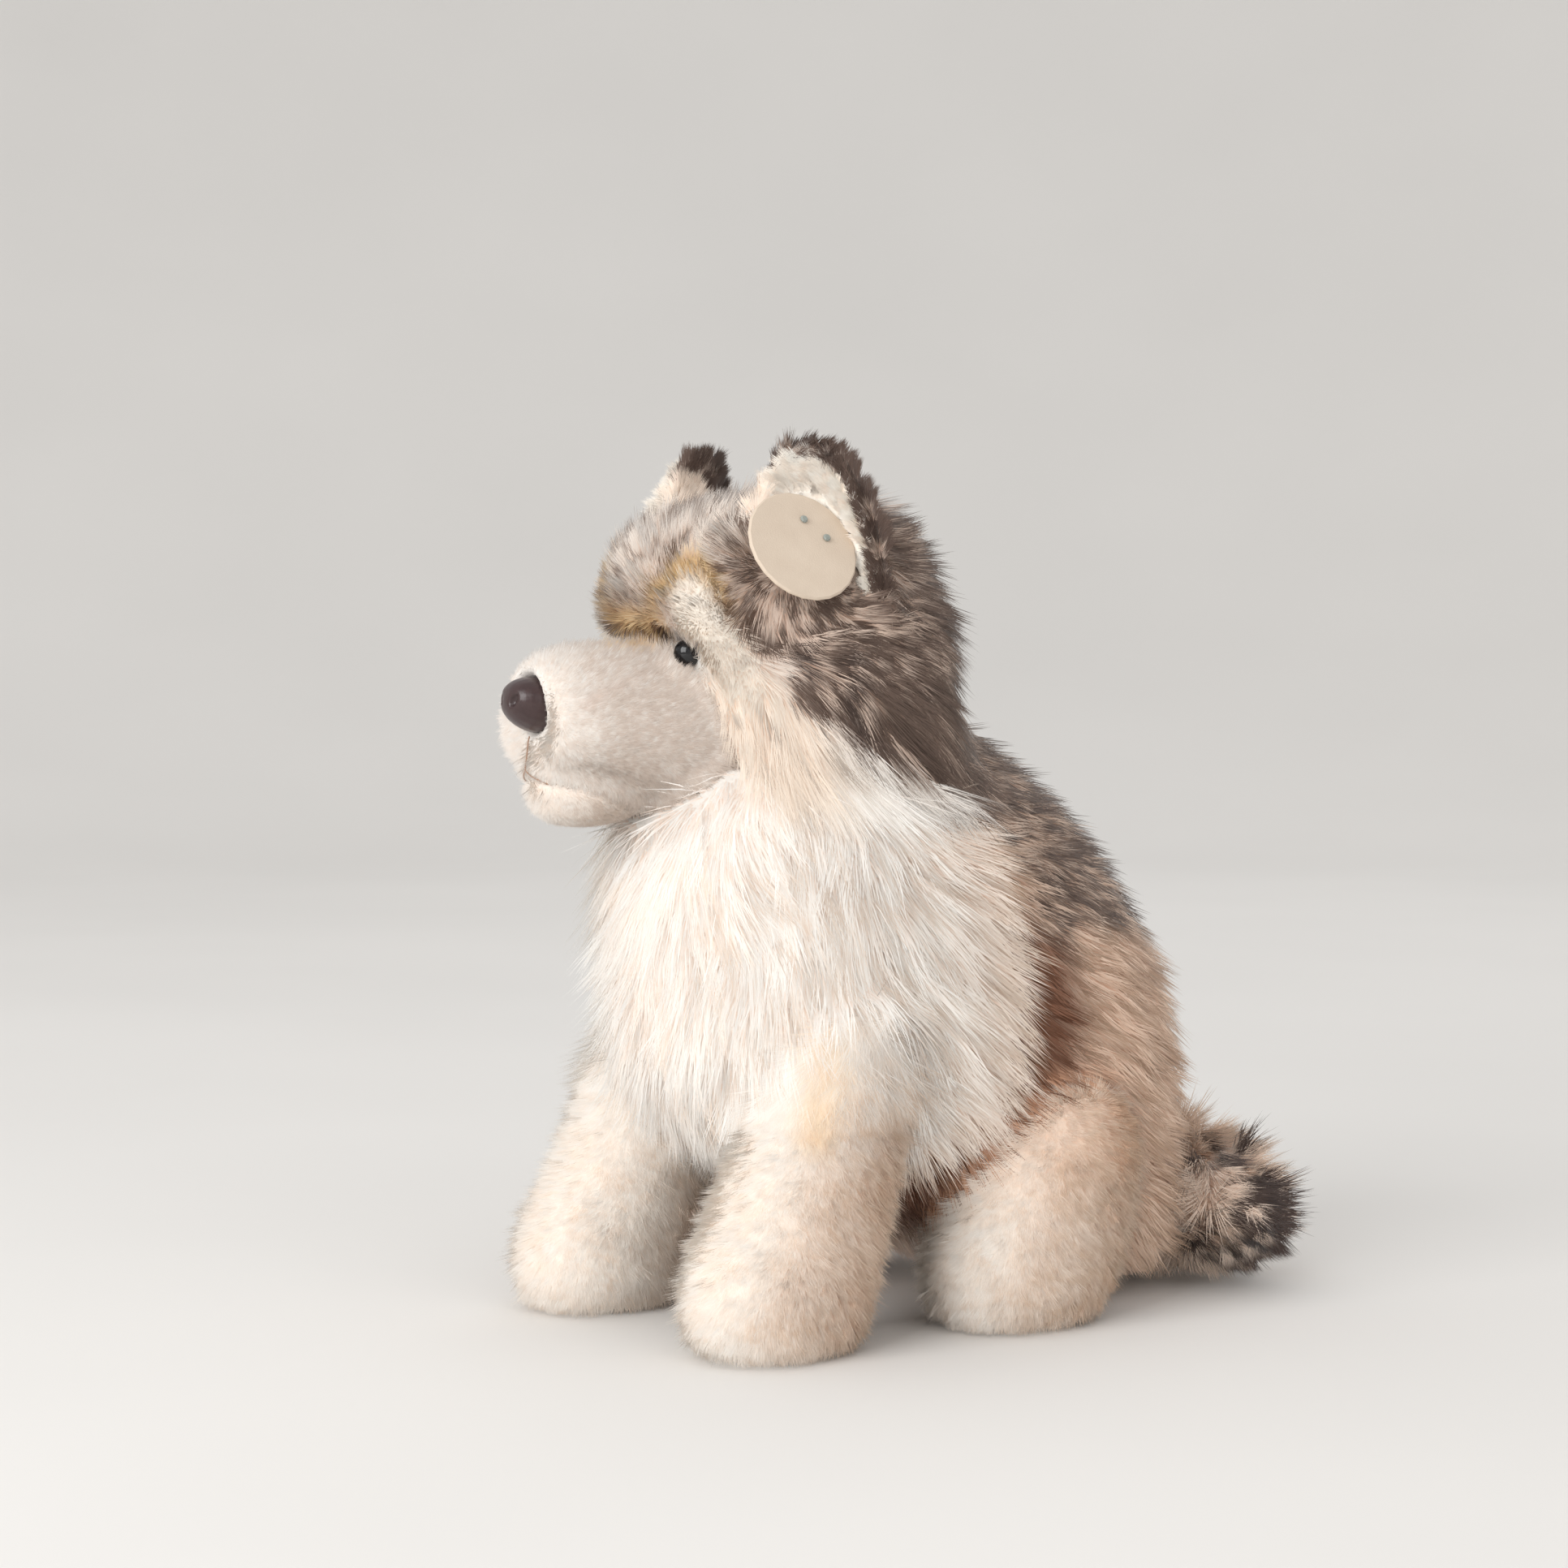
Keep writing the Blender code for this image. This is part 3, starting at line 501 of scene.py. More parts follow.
def make_blade(levels):
    """One flat strand: pairs of points that narrow to a tip, with their places kept on them."""
    along = []
    side = []
    for level in range(levels):
        along += [level / levels, level / levels]
        side += [-1.0 + BLADE_TAPER * level / levels, 1.0 - BLADE_TAPER * level / levels]
    along.append(1.0)
    side.append(0.0)
    faces = [(2 * i, 2 * i + 1, 2 * i + 3, 2 * i + 2) for i in range(levels - 1)]
    faces.append((2 * levels - 2, 2 * levels - 1, 2 * levels))
    mesh = bpy.data.meshes.new("fur_blade")
    mesh.from_pydata([(s, 0.0, a) for s, a in zip(side, along)], [], faces)
    keep(mesh, "along", np.array(along))
    keep(mesh, "side", np.array(side))
    mesh.shade_smooth()
    return bpy.data.objects.new("fur_blade_%d" % levels, mesh)


blades = {levels: make_blade(levels) for levels in (1, 2)}


def new_material(name):
    """A new material with its node tree and its shader."""
    material = bpy.data.materials.new(name)
    material.use_nodes = True
    return material, material.node_tree, material.node_tree.nodes["Principled BSDF"]


def mixed(tree, share, first, second, way="MIX"):
    """A first colour, moved by a share towards a second one or towards their product."""
    made = add(tree, "ShaderNodeMix", data_type="RGBA", blend_type=way)
    feed(tree, share, made.inputs[0])
    feed(tree, first, made.inputs[6])
    feed(tree, second, made.inputs[7])
    return made.outputs[2]


def clouds(tree, scale, detail=2.0):
    """Soft noise through a piece: a larger scale makes it finer."""
    made = add(tree, "ShaderNodeTexNoise")
    made.inputs["Scale"].default_value = scale
    made.inputs["Detail"].default_value = detail
    feed(tree, add(tree, "ShaderNodeTexCoord").outputs["Object"], made.inputs["Vector"])
    return made.outputs[0]


def relief(tree, height, strength, distance):
    """A surface's normal with a fine relief."""
    made = add(tree, "ShaderNodeBump")
    made.inputs["Strength"].default_value = strength
    made.inputs["Distance"].default_value = distance
    feed(tree, height, made.inputs["Height"])
    return made.outputs[0]


MARK_SPAN = (0.85, 1.35)
MARK_STRENGTH = 1.15
ROOT_TINT_SPAN = (0.05, 0.55)
FIBRE_WARMTH = (0.98, 0.92, 0.875, 1.0)
FULL_TUFT_PILE = 0.0125
FACE_LIGHT = 0.18


def make_fur_material(name, root_tint_and_shade, tuft, mottle):
    """Plush fibre: pale at the root, dark towards the tip where the coat is marked."""
    material, tree, shader = new_material(name)

    def mark(attribute, output="Fac"):
        made = add(tree, "ShaderNodeAttribute", attribute_name=attribute)
        return made.outputs[output]

    strand = add(tree, "ShaderNodeSeparateXYZ")
    feed(tree, mark("strand", "Vector"), strand.inputs[0])
    lock = add(tree, "ShaderNodeSeparateXYZ")
    feed(tree, mark("lock", "Vector"), lock.inputs[0])
    along = mark("along")
    shade = mark("shade")
    reach = figure(tree, "ADD", along, figure(tree, "MULTIPLY", shade, MARK_STRENGTH))
    reach = figure(tree, "ADD", reach, figure(tree, "MULTIPLY", strand.outputs[0], 0.18))
    reach = figure(tree, "ADD", reach, figure(tree, "MULTIPLY", lock.outputs[1], mottle))
    darkness = add(tree, "ShaderNodeMapRange", interpolation_type="SMOOTHSTEP")
    feed(tree, reach, darkness.inputs["Value"])
    darkness.inputs["From Min"].default_value = MARK_SPAN[0]
    darkness.inputs["From Max"].default_value = MARK_SPAN[1]
    marked = figure(tree, "MINIMUM", figure(tree, "MULTIPLY", shade, 4.0), 1.0)
    warmth = figure(tree, "MULTIPLY_ADD", lock.outputs[0], 0.35, 0.35)
    warm = mixed(tree, warmth, mark("light", "Color"), FIBRE_WARMTH, "MULTIPLY")
    marking = figure(tree, "MULTIPLY", darkness.outputs["Result"], marked)
    tint = mixed(tree, marking, warm, mark("dark", "Color"))
    # Near the root each strand is tinted warm and darker: partly the peach of the fibre roots and partly
    # painted shade in the depth of the pile, since the strands throw no shadow
    depth = add(tree, "ShaderNodeValToRGB")
    depth.color_ramp.elements[0].color = (*root_tint_and_shade, 1.0)
    depth.color_ramp.elements[0].position = ROOT_TINT_SPAN[0]
    depth.color_ramp.elements[1].color = (1.0, 1.0, 1.0, 1.0)
    depth.color_ramp.elements[1].position = ROOT_TINT_SPAN[1]
    feed(tree, along, depth.inputs[0])
    root_shaded = mixed(tree, 1.0, tint, depth.outputs[0], "MULTIPLY")
    bright = figure(tree, "MULTIPLY_ADD", strand.outputs[1], 0.03, 0.99)
    feed(tree, arrow(tree, "SCALE", root_shaded, bright), shader.inputs["Base Color"])
    face = add(tree, "ShaderNodeNewGeometry").outputs["Normal"]
    fullness = figure(tree, "DIVIDE", mark("pile"), FULL_TUFT_PILE)
    fullness = figure(tree, "MINIMUM", fullness, 1.0)
    lock_lean = arrow(tree, "SCALE", mark("lock", "Vector"), figure(tree, "MULTIPLY", fullness, tuft))
    leaning = arrow(tree, "ADD", mark("nap", "Vector"), lock_lean)
    facing = add(tree, "ShaderNodeVectorMath", operation="DOT_PRODUCT")
    feed(tree, leaning, facing.inputs[0])
    feed(tree, face, facing.inputs[1])
    share = figure(tree, "MAXIMUM", figure(tree, "MULTIPLY", facing.outputs["Value"], -2.0), 0.0)
    share = figure(tree, "ADD", share, FACE_LIGHT)
    soft = arrow(tree, "ADD", leaning, arrow(tree, "SCALE", face, share))
    feed(tree, arrow(tree, "NORMALIZE", soft), shader.inputs["Normal"])
    shader.inputs["Roughness"].default_value = 0.75
    shader.inputs["Specular IOR Level"].default_value = 0.25
    shader.inputs["Sheen Weight"].default_value = 0.35
    shader.inputs["Sheen Roughness"].default_value = 0.4
    return material


def make_backing_material(name):
    """The woven backing and the fibre roots, in the coat's own colours."""
    material, tree, shader = new_material(name)
    light = add(tree, "ShaderNodeAttribute", attribute_name="light").outputs["Color"]
    dark = add(tree, "ShaderNodeAttribute", attribute_name="dark").outputs["Color"]
    shade = add(tree, "ShaderNodeAttribute", attribute_name="shade").outputs["Fac"]
    weave = clouds(tree, 900.0, 3.0)
    tint = mixed(tree, figure(tree, "MULTIPLY", shade, 0.8), light, dark)
    depth = add(tree, "ShaderNodeMapRange")
    depth.inputs["To Min"].default_value = 0.85
    depth.inputs["To Max"].default_value = 1.0
    feed(tree, weave, depth.inputs["Value"])
    feed(tree, arrow(tree, "SCALE", tint, depth.outputs[0]), shader.inputs["Base Color"])
    feed(tree, relief(tree, weave, 0.5, 0.0006), shader.inputs["Normal"])
    shader.inputs["Roughness"].default_value = 0.95
    shader.inputs["Specular IOR Level"].default_value = 0.1
    return material


# The first colour of each fur is its root tint, partly peach fibre and partly painted shade
long_fur = make_fur_material("long plush fur", (0.93, 0.81, 0.74), 0.32, 0.42)
short_fur = make_fur_material("short plush pile", (0.99, 0.93, 0.89), 0.10, 0.20)
backing = make_backing_material("plush backing")


def grow(cover, material, seed, strands, levels, width, locks, frizz, spread, pull, droop):
    """Fur on a dressed cover: about so many strands, with so many locks on each square metre.

    Frizz and spread turn the strands and the locks out of the comb direction, and the pull gathers
    the tips of a lock. Pale fibres let the light through, so the strands throw no shadow.
    """
    mesh = cover.data
    areas = np.empty(len(mesh.polygons))
    mesh.polygons.foreach_get("area", areas)
    shares = np.empty(len(mesh.vertices), np.float32)
    mesh.attributes["grows"].data.foreach_get("value", shares)
    face_shares = [shares[list(face.vertices)].mean() for face in mesh.polygons]
    grown_area = float(np.sum(areas * np.array(face_shares)))
    fur = bpy.data.objects.new(cover.name.replace("_cover", "_fur"), mesh.copy())
    bpy.context.scene.collection.objects.link(fur)
    growing = fur.modifiers.new("Growing", "NODES")
    growing.node_group = fur_tree
    values = {
        "Blade": blades[levels],
        "Strands per Area": strands / grown_area,
        "Locks per Area": locks,
        "Strand Width": width,
        "Frizz": frizz,
        "Lock Spread": spread,
        "Lock Pull": pull,
        "Droop": droop,
        "Seed": seed,
        "Fur Material": material,
    }
    for item in fur_tree.interface.items_tree:
        if item.in_out == "INPUT" and item.name in values:
            growing[item.identifier] = values[item.name]
    finished(fur)
    fur.visible_shadow = False
    return fur


def hand_over(cover, fur, node):
    """Declare a cover and its fur to the frame."""
    cover.data.materials.clear()
    cover.data.materials.append(backing)
    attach(cover, "root")
    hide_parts(node)
    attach(fur, "root")


TORSO_DRAWN_IN = 0.0045
TORSO_VOXEL = 0.0030
HAUNCH_PILE = 0.015
CHEST_PILE = 0.022
HEM_PILE = 0.015
SADDLE_PILE = 0.012
SEAT_PILE = 0.005
SADDLE_LOWEST = 0.118
SADDLE_FRONT = -0.031
SADDLE_SLOPE = 1.25
RUFF_HEIGHTS = (0.045, 0.054, 0.060, 0.075, 0.096, 0.130, 0.160, 0.190)
RUFF_ENDS = (0.020, 0.008, -0.006, -0.012, -0.016, -0.011, 0.001, 0.010)
RUFF_BLUR = 0.008
RUFF_REAR = 0.034
# Where the painted shade of the fold between ruff and haunch lies
FOLD_SHADE_FRONT = (0.002, 0.004)
FOLD_SHADE_REAR = (0.030, 0.016)
FOLD_SHADE_TOP = 0.135
CREASE_SHADE_REACH = 0.012

torso_cover, points, normals, shares = make_cover("torso", TORSO_DRAWN_IN, TORSO_VOXEL)
places = body_places(points)
ahead = places[:, 1]
up = places[:, 2]
count = len(points)
coat = new_coat(count, dyed(238, 214, 195), dyed(202, 170, 145), HAUNCH_PILE)
ruff_edge = np.interp(up, RUFF_HEIGHTS, RUFF_ENDS)
ruff = smooth((ahead - ruff_edge) / RUFF_BLUR + 0.5)
work_in(coat, ruff, light=WHITE, dark=TAN, pile=CHEST_PILE)
work_in(coat, ruff * short_of(up, 0.080, 0.024), pile=HEM_PILE)
coat["shade"] = 0.32 - 0.18 * ruff
# The rear of the ruff is tinted peach: partly the plush's own warm tone and partly painted warm shade on
# the side turned from the window light
ruff_rear_tint_and_shade = ruff * smooth((RUFF_REAR - ahead + ruff_edge) / RUFF_REAR)
work_in(coat, ruff_rear_tint_and_shade * 0.6, light=dyed(246, 228, 212))
# Painted shade: a dark tan-brown band where the rear of the ruff meets the haunch stands in for the shade
# in a fold that the cover does not have
fold_shade = smooth((ruff_edge - ahead + FOLD_SHADE_FRONT[0]) / FOLD_SHADE_FRONT[1])
fold_shade *= smooth((ahead - ruff_edge + FOLD_SHADE_REAR[0]) / FOLD_SHADE_REAR[1])
fold_shade *= short_of(up, FOLD_SHADE_TOP, 0.020)
work_in(coat, fold_shade * 0.9, light=dyed(126, 78, 52))
work_in(coat, fold_shade, dark=dyed(106, 66, 44))
# Painted shade: the torso's plush is darkened to tan round the tops of the hind legs, for the shade in the
# crease where they meet the haunch
haunch_crease_shade = near_node(points, "hind_leg_left", CREASE_SHADE_REACH)
haunch_crease_shade = np.maximum(haunch_crease_shade, near_node(points, "hind_leg_right", CREASE_SHADE_REACH))
work_in(coat, smooth(haunch_crease_shade * 1.3) * (1.0 - ruff), light=dyed(206, 164, 136))
saddle_edge = SADDLE_LOWEST + np.maximum(0.0, ahead - SADDLE_FRONT) * SADDLE_SLOPE
saddle = smooth((up - saddle_edge + 0.004 * mottling(points, 0.010)) / 0.012 + 0.5)
saddle_shade = 0.48 + 0.16 * mottling(points, 0.008)
work_in(coat, saddle, light=dyed(208, 187, 171), dark=dyed(106, 87, 77), shade=saddle_shade)
work_in(coat, saddle, pile=SADDLE_PILE, lay=0.80)
work_in(coat, short_of(up, 0.020, 0.015), pile=SEAT_PILE)
backward = 0.15 + 0.95 * short_of(ahead, 0.050, 0.06)
backward = blend(backward, saddle, 1.6)
comb = np.column_stack((0.10 * np.sign(points[:, 0]), backward, np.full(count, -1.0)))
shares *= past(up, 0.004, 0.004)
dress(torso_cover, coat, comb, normals, shares)
torso_fur = grow(
    torso_cover, long_fur, 11, strands=62000, levels=2, width=0.00045, locks=110000.0,
    frizz=0.14, spread=0.22, pull=0.45, droop=0.10,
)
hand_over(torso_cover, torso_fur, "torso")

# Head: cut from grey and cream plush, with long cheek hair that hangs over the chest.
# The brows carry airbrushed ochre and brown marks, and the cream eye patches stand out of them.
HEAD_TURN = math.radians(-10.0)
HEAD_COSINE = math.cos(HEAD_TURN)
HEAD_SINE = math.sin(HEAD_TURN)
HEAD_CENTRE = HOME + Vector((0.0, -0.015, 0.205))
HEAD_DRAWN_IN = 0.0035
BROW_SWELL = 0.0062
CROWN_PILE = 0.014
FOREHEAD_PILE = 0.0115
CHEEK_PILE = 0.030
FACE_PILE = 0.0085
EYE_PATCH_PILE = 0.0062
BROW_PILE = 0.0080
EYE_RIM_PILE = 0.0042
CAP_FRONT = (0.040, -0.007)
CAP_SLOPE = 0.60
EYE_SPOT = (0.019, 0.051, -0.0035)
EYE_RIM = (0.008, 0.014, 0.008)
EYE_PATCH = (
    (0.0285, 0.054, 0.0115), (0.0305, 0.053, 0.004), (0.0345, 0.050, -0.004), (0.0370, 0.046, -0.014),
)
BROW_ARCH = (
    (0.018, 0.059, 0.015), (0.023, 0.056, 0.0215), (0.030, 0.054, 0.0225), (0.0370, 0.051, 0.0175),
    (0.0420, 0.048, 0.009),
)
BROW_BAND = ((0.0, 0.059, 0.007), (0.013, 0.0575, 0.006), (0.014, 0.058, 0.014))
BROW_EDGE = ((0.0135, 0.057, 0.003), (0.014, 0.058, 0.016), (0.019, 0.054, 0.026))
BROW_TAIL = ((0.0425, 0.044, 0.010), (0.0440, 0.041, 0.002), (0.0460, 0.037, -0.004))
INNER_LASHES = ((0.0125, 0.056, 0.004), (0.0140, 0.0555, 0.000))
OUTER_LASHES = ((0.0245, 0.052, -0.001), (0.0290, 0.050, -0.001))
TEMPLE_STREAK = ((0.052, 0.021, -0.004), (0.053, 0.017, -0.020))
FACE_MIDDLE = (0.0, 0.078, -0.002)


def head_places(points):
    """Points as distance from the head's middle, ahead of its centre, and up from it."""
    away = points - np.array(HEAD_CENTRE)
    left = HEAD_COSINE * away[:, 0] + HEAD_SINE * away[:, 1]
    back = -HEAD_SINE * away[:, 0] + HEAD_COSINE * away[:, 1]
    return np.column_stack((np.abs(left), -back, away[:, 2]))


def head_way(points, way):
    """Directions given as outward from the head's middle, ahead and up, turned into the frame's."""
    away = points - np.array(HEAD_CENTRE)
    left = np.sign(HEAD_COSINE * away[:, 0] + HEAD_SINE * away[:, 1]) * way[:, 0]
    back = -way[:, 1]
    across = HEAD_COSINE * left - HEAD_SINE * back
    return np.column_stack((across, HEAD_SINE * left + HEAD_COSINE * back, way[:, 2]))


TAG_MARGIN = 0.002
SHORTEST_PILE = 0.0008


def tag_frame():
    """The tag's middle, its outward normal and its radius, from its CAD node."""
    corners = np.array([vertex.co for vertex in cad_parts["ear_tag"].data.vertices])
    middle = 0.5 * (corners.max(axis=0) + corners.min(axis=0))
    normal = np.linalg.svd(corners - middle)[2][2]
    normal *= np.sign(normal[0])
    return middle, normal, np.linalg.norm(corners - middle, axis=1).max()


tag_middle, tag_normal, tag_radius = tag_frame()


def clear_of_tag(points, coat, comb):
    """Shorten the pile behind the tag, and comb it outwards round the tag's edge."""
    away = points - tag_middle
    depth = -away @ tag_normal
    aside = away + depth[:, None] * tag_normal
    reach = np.linalg.norm(aside, axis=1)
    behind = smooth((tag_radius + 3.0 * TAG_MARGIN - reach) / (2.0 * TAG_MARGIN))
    behind *= np.where(depth > -TAG_MARGIN, 1.0, 0.0)
    room = np.maximum(depth - TAG_MARGIN, SHORTEST_PILE)
    work_in(coat, behind, pile=np.minimum(coat["pile"], room))
    outward = aside / np.maximum(reach, LEAST_LENGTH)[:, None]
    return blend(comb, behind * 0.8, outward)


def brow_swell(points):
    """How far the filling pushes out the brows and the forehead over the muzzle."""
    outward, ahead, up = head_places(points).T
    beside = past(outward, 0.014, 0.010)
    full = past(ahead, 0.026, 0.022)
    full *= smooth((up + 0.001 + 0.020 * beside) / (0.008 + 0.018 * beside))
    full *= short_of(up, 0.054, 0.020) * short_of(outward, 0.048, 0.018)
    return BROW_SWELL * full


head_cover, points, normals, shares = make_cover("head", HEAD_DRAWN_IN, swell=brow_swell)
places = head_places(points)
outward = places[:, 0]
ahead = places[:, 1]
up = places[:, 2]
count = len(points)
coat = new_coat(count, WHITE, dyed(108, 90, 80), CROWN_PILE)
cheek_patch = patch(places, (0.034, 0.042, -0.026), (0.020, 0.024, 0.020))
work_in(coat, cheek_patch, light=dyed(236, 225, 212))
cap_edge = CAP_FRONT[1] - (CAP_FRONT[0] - ahead) * CAP_SLOPE
cap = smooth((up - cap_edge + 0.003 * mottling(points, 0.009)) / 0.009 + 0.5)
work_in(coat, cap, light=dyed(214, 195, 181))
coat["shade"] = 0.10 + cap * (0.42 + 0.18 * mottling(points, 0.009))
forehead = cap * past(up, 0.004, 0.012) * past(ahead, 0.004, 0.030)
forehead *= short_of(outward, 0.040, 0.010)
forehead_shade = 0.26 + 0.16 * mottling(points, 0.007)
work_in(coat, forehead, light=dyed(238, 229, 220), dark=dyed(150, 128, 114), shade=forehead_shade)
brow = near_path(places, BROW_BAND, 0.0045, 0.0030)
work_in(coat, brow, light=OCHRE, dark=dyed(132, 100, 72), shade=0.30)
brow_dark = near_path(places, BROW_EDGE, 0.0022, 0.0020)
brow_dark = np.maximum(brow_dark, near_path(places, BROW_TAIL, 0.0030, 0.0025))
work_in(coat, brow_dark, dark=dyed(98, 78, 64), shade=0.72)
eye_patch = near_path(places, EYE_PATCH, 0.0086, 0.0018)
work_in(coat, eye_patch, light=dyed(252, 244, 232), shade=0.04)
arch = near_path(places, BROW_ARCH, 0.0032, 0.0026)
work_in(coat, arch, light=OCHRE, dark=dyed(150, 118, 84), shade=0.26)
temple = patch(places, (0.046, 0.036, -0.004), (0.004, 0.007, 0.006))
temple = np.maximum(temple, near_path(places, TEMPLE_STREAK, 0.0040, 0.0040))
work_in(coat, temple, dark=DARK_BROWN, shade=0.85)
lashes = near_path(places, INNER_LASHES, 0.0018, 0.0014)
lashes = np.maximum(lashes, near_path(places, OUTER_LASHES, 0.0014, 0.0012))
work_in(coat, lashes, dark=DARK_BROWN, shade=1.0)
cheek = short_of(up, -0.010, 0.016) * past(outward, 0.026, 0.015)
face = past(ahead, 0.034, 0.014)
raised_marks = np.maximum(eye_patch, arch)
work_in(coat, forehead, pile=FOREHEAD_PILE)
work_in(coat, cheek, pile=CHEEK_PILE, lay=0.82)
work_in(coat, face * (1.0 - forehead), pile=FACE_PILE)
work_in(coat, forehead, lay=0.50)
work_in(coat, raised_marks, pile=EYE_PATCH_PILE)
work_in(coat, brow, pile=BROW_PILE)
work_in(coat, np.maximum(raised_marks, brow), lay=0.40)
work_in(coat, patch(places, EYE_SPOT, EYE_RIM), pile=EYE_RIM_PILE, lay=0.62)
way = places - np.array(FACE_MIDDLE)
way /= np.linalg.norm(way, axis=1)[:, None]
hanging = short_of(up, 0.006, 0.030) * past(outward, 0.015, 0.020)
rearward = -0.20 - 0.65 * short_of(ahead, 0.045, 0.02)
down = np.column_stack((np.full(count, 0.14), rearward, np.full(count, -1.0)))
way = blend(way, hanging, down)
nape = short_of(ahead, 0.012, 0.020) * short_of(up, 0.030, 0.030)
way = blend(way, nape, np.array((0.0, -0.8, -0.9)))
way = blend(way, face * past(up, 0.001, 0.008) * 0.8, np.array((0.08, -0.1, 1.0)))
comb = clear_of_tag(points, coat, head_way(points, way))
dress(head_cover, coat, comb, normals, shares, 1.2 - short_of(up, 0.0, 0.012))
head_fur = grow(
    head_cover, long_fur, 23, strands=62000, levels=2, width=0.00040, locks=130000.0,
    frizz=0.14, spread=0.22, pull=0.45, droop=0.08,
)
hand_over(head_cover, head_fur, "head")

# Muzzle and lower jaw: short clipped pile, white at the lips and mottled tan further back.
# They are sewn to the face, and a thread from nose to chin draws in the mouth.
MUZZLE_DRAWN_IN = 0.0022
MUZZLE_VOXEL = 0.0018
MUZZLE_PILE = 0.0043
MUZZLE_REAR_PILE = 0.0058
NOSE_EDGE_PILE = 0.0014
MUZZLE_TIP = (0.0, 0.115, -0.012)
# The path of the muzzle's painted crease shade
MUZZLE_CREASE_SHADE = (
    (0.0175, 0.062, -0.0065), (0.0205, 0.072, -0.0095), (0.0230, 0.081, -0.0140), (0.0235, 0.087, -0.0175),
)
JAW_DRAWN_IN = 0.0016
JAW_VOXEL = 0.0015
JAW_PILE = 0.0046
CLIPPED_PILE = {
    "levels": 1, "width": 0.00040, "locks": 700000.0, "frizz": 0.35, "spread": 0.25, "pull": 0.25,
    "droop": 0.0,
}

muzzle_cover, points, normals, shares = make_cover("muzzle", MUZZLE_DRAWN_IN, MUZZLE_VOXEL)
places = head_places(points)
coat = new_coat(len(points), dyed(242, 237, 231), dyed(222, 207, 195), MUZZLE_PILE, 0.60)
rearward = short_of(places[:, 1], 0.096, 0.022)
coat["shade"] = 0.14 + rearward * (0.34 + 0.08 * mottling(points, 0.004))
bridge = patch(places, (0.004, 0.066, 0.002), (0.016, 0.012, 0.006))
work_in(coat, bridge, light=dyed(240, 212, 168))
# Painted shade: a tan line from the side of the bridge towards the inner eye corner stands in for the shade
# in the crease there
crease_shade = near_path(places, MUZZLE_CREASE_SHADE, 0.0016, 0.0022)
work_in(coat, crease_shade * 0.7, light=dyed(214, 178, 156))
rear_edge = smooth(np.linalg.norm(seam_ways["muzzle_cover"], axis=1) * 1.6) * rearward
work_in(coat, rear_edge, pile=MUZZLE_REAR_PILE)
work_in(coat, smooth(near_node(points, "nose", 0.007) * 1.4), pile=NOSE_EDGE_PILE)
shares *= np.where(near_node(points, "nose", 0.0022) > 0.0, 0.0, 1.0)
way = places - np.array(MUZZLE_TIP)
dress(muzzle_cover, coat, head_way(points, way), normals, shares, 2.0 * rearward)
muzzle_fur = grow(muzzle_cover, short_fur, 31, strands=90000, **CLIPPED_PILE)
hand_over(muzzle_cover, muzzle_fur, "muzzle")

jaw_cover, points, normals, shares = make_cover("lower_jaw", JAW_DRAWN_IN, JAW_VOXEL)
ahead = head_places(points)[:, 1]
coat = new_coat(len(points), dyed(247, 241, 234), dyed(222, 205, 191), JAW_PILE, 0.66)
rearward = short_of(ahead, 0.092, 0.016)
coat["shade"] = 0.14 + rearward * (0.30 + 0.08 * mottling(points, 0.004))
way = np.tile((0.1, -1.0, -0.3), (len(points), 1))
comb = head_way(points, way)
dress(jaw_cover, coat, comb, normals, shares, 1.5 * short_of(ahead, 0.080, 0.008))
jaw_fur = grow(jaw_cover, short_fur, 37, strands=22000, **CLIPPED_PILE)
hand_over(jaw_cover, jaw_fur, "lower_jaw")

# Mouth: one brown thread runs from the nose down the lip and back along the mouth on both sides.
# It lies in the parted pile, and its stitches draw the muzzle and the jaw together.
THREAD_RADIUS = 0.00022
THREAD_RISE = 0.0014
THREAD_STEPS = 6
THREAD_ROUNDS = 6
LIP_LINE = ((0.0, 0.0995, -0.0265), (0.0, 0.0995, -0.0320), (0.0, 0.0985, -0.0385))
MOUTH_LINE = (
    (0.0, 0.0985, -0.0385), (0.0050, 0.0955, -0.0415), (0.0100, 0.0910, -0.0435),
    (0.0150, 0.0855, -0.0450), (0.0175, 0.0815, -0.0455),
)


def head_point(place, side):
    """A place given as outward from the head's middle, ahead and up, on one side, in the frame."""
    left = side * place[0]
    back = -place[1]
    across = HEAD_COSINE * left - HEAD_SINE * back
    return HEAD_CENTRE + Vector((across, HEAD_SINE * left + HEAD_COSINE * back, place[2]))


def cover_tree(cover):
    """A search tree over a cover's surface."""
    spots = [vertex.co.copy() for vertex in cover.data.vertices]
    return BVHTree.FromPolygons(spots, [face.vertices[:] for face in cover.data.polygons])


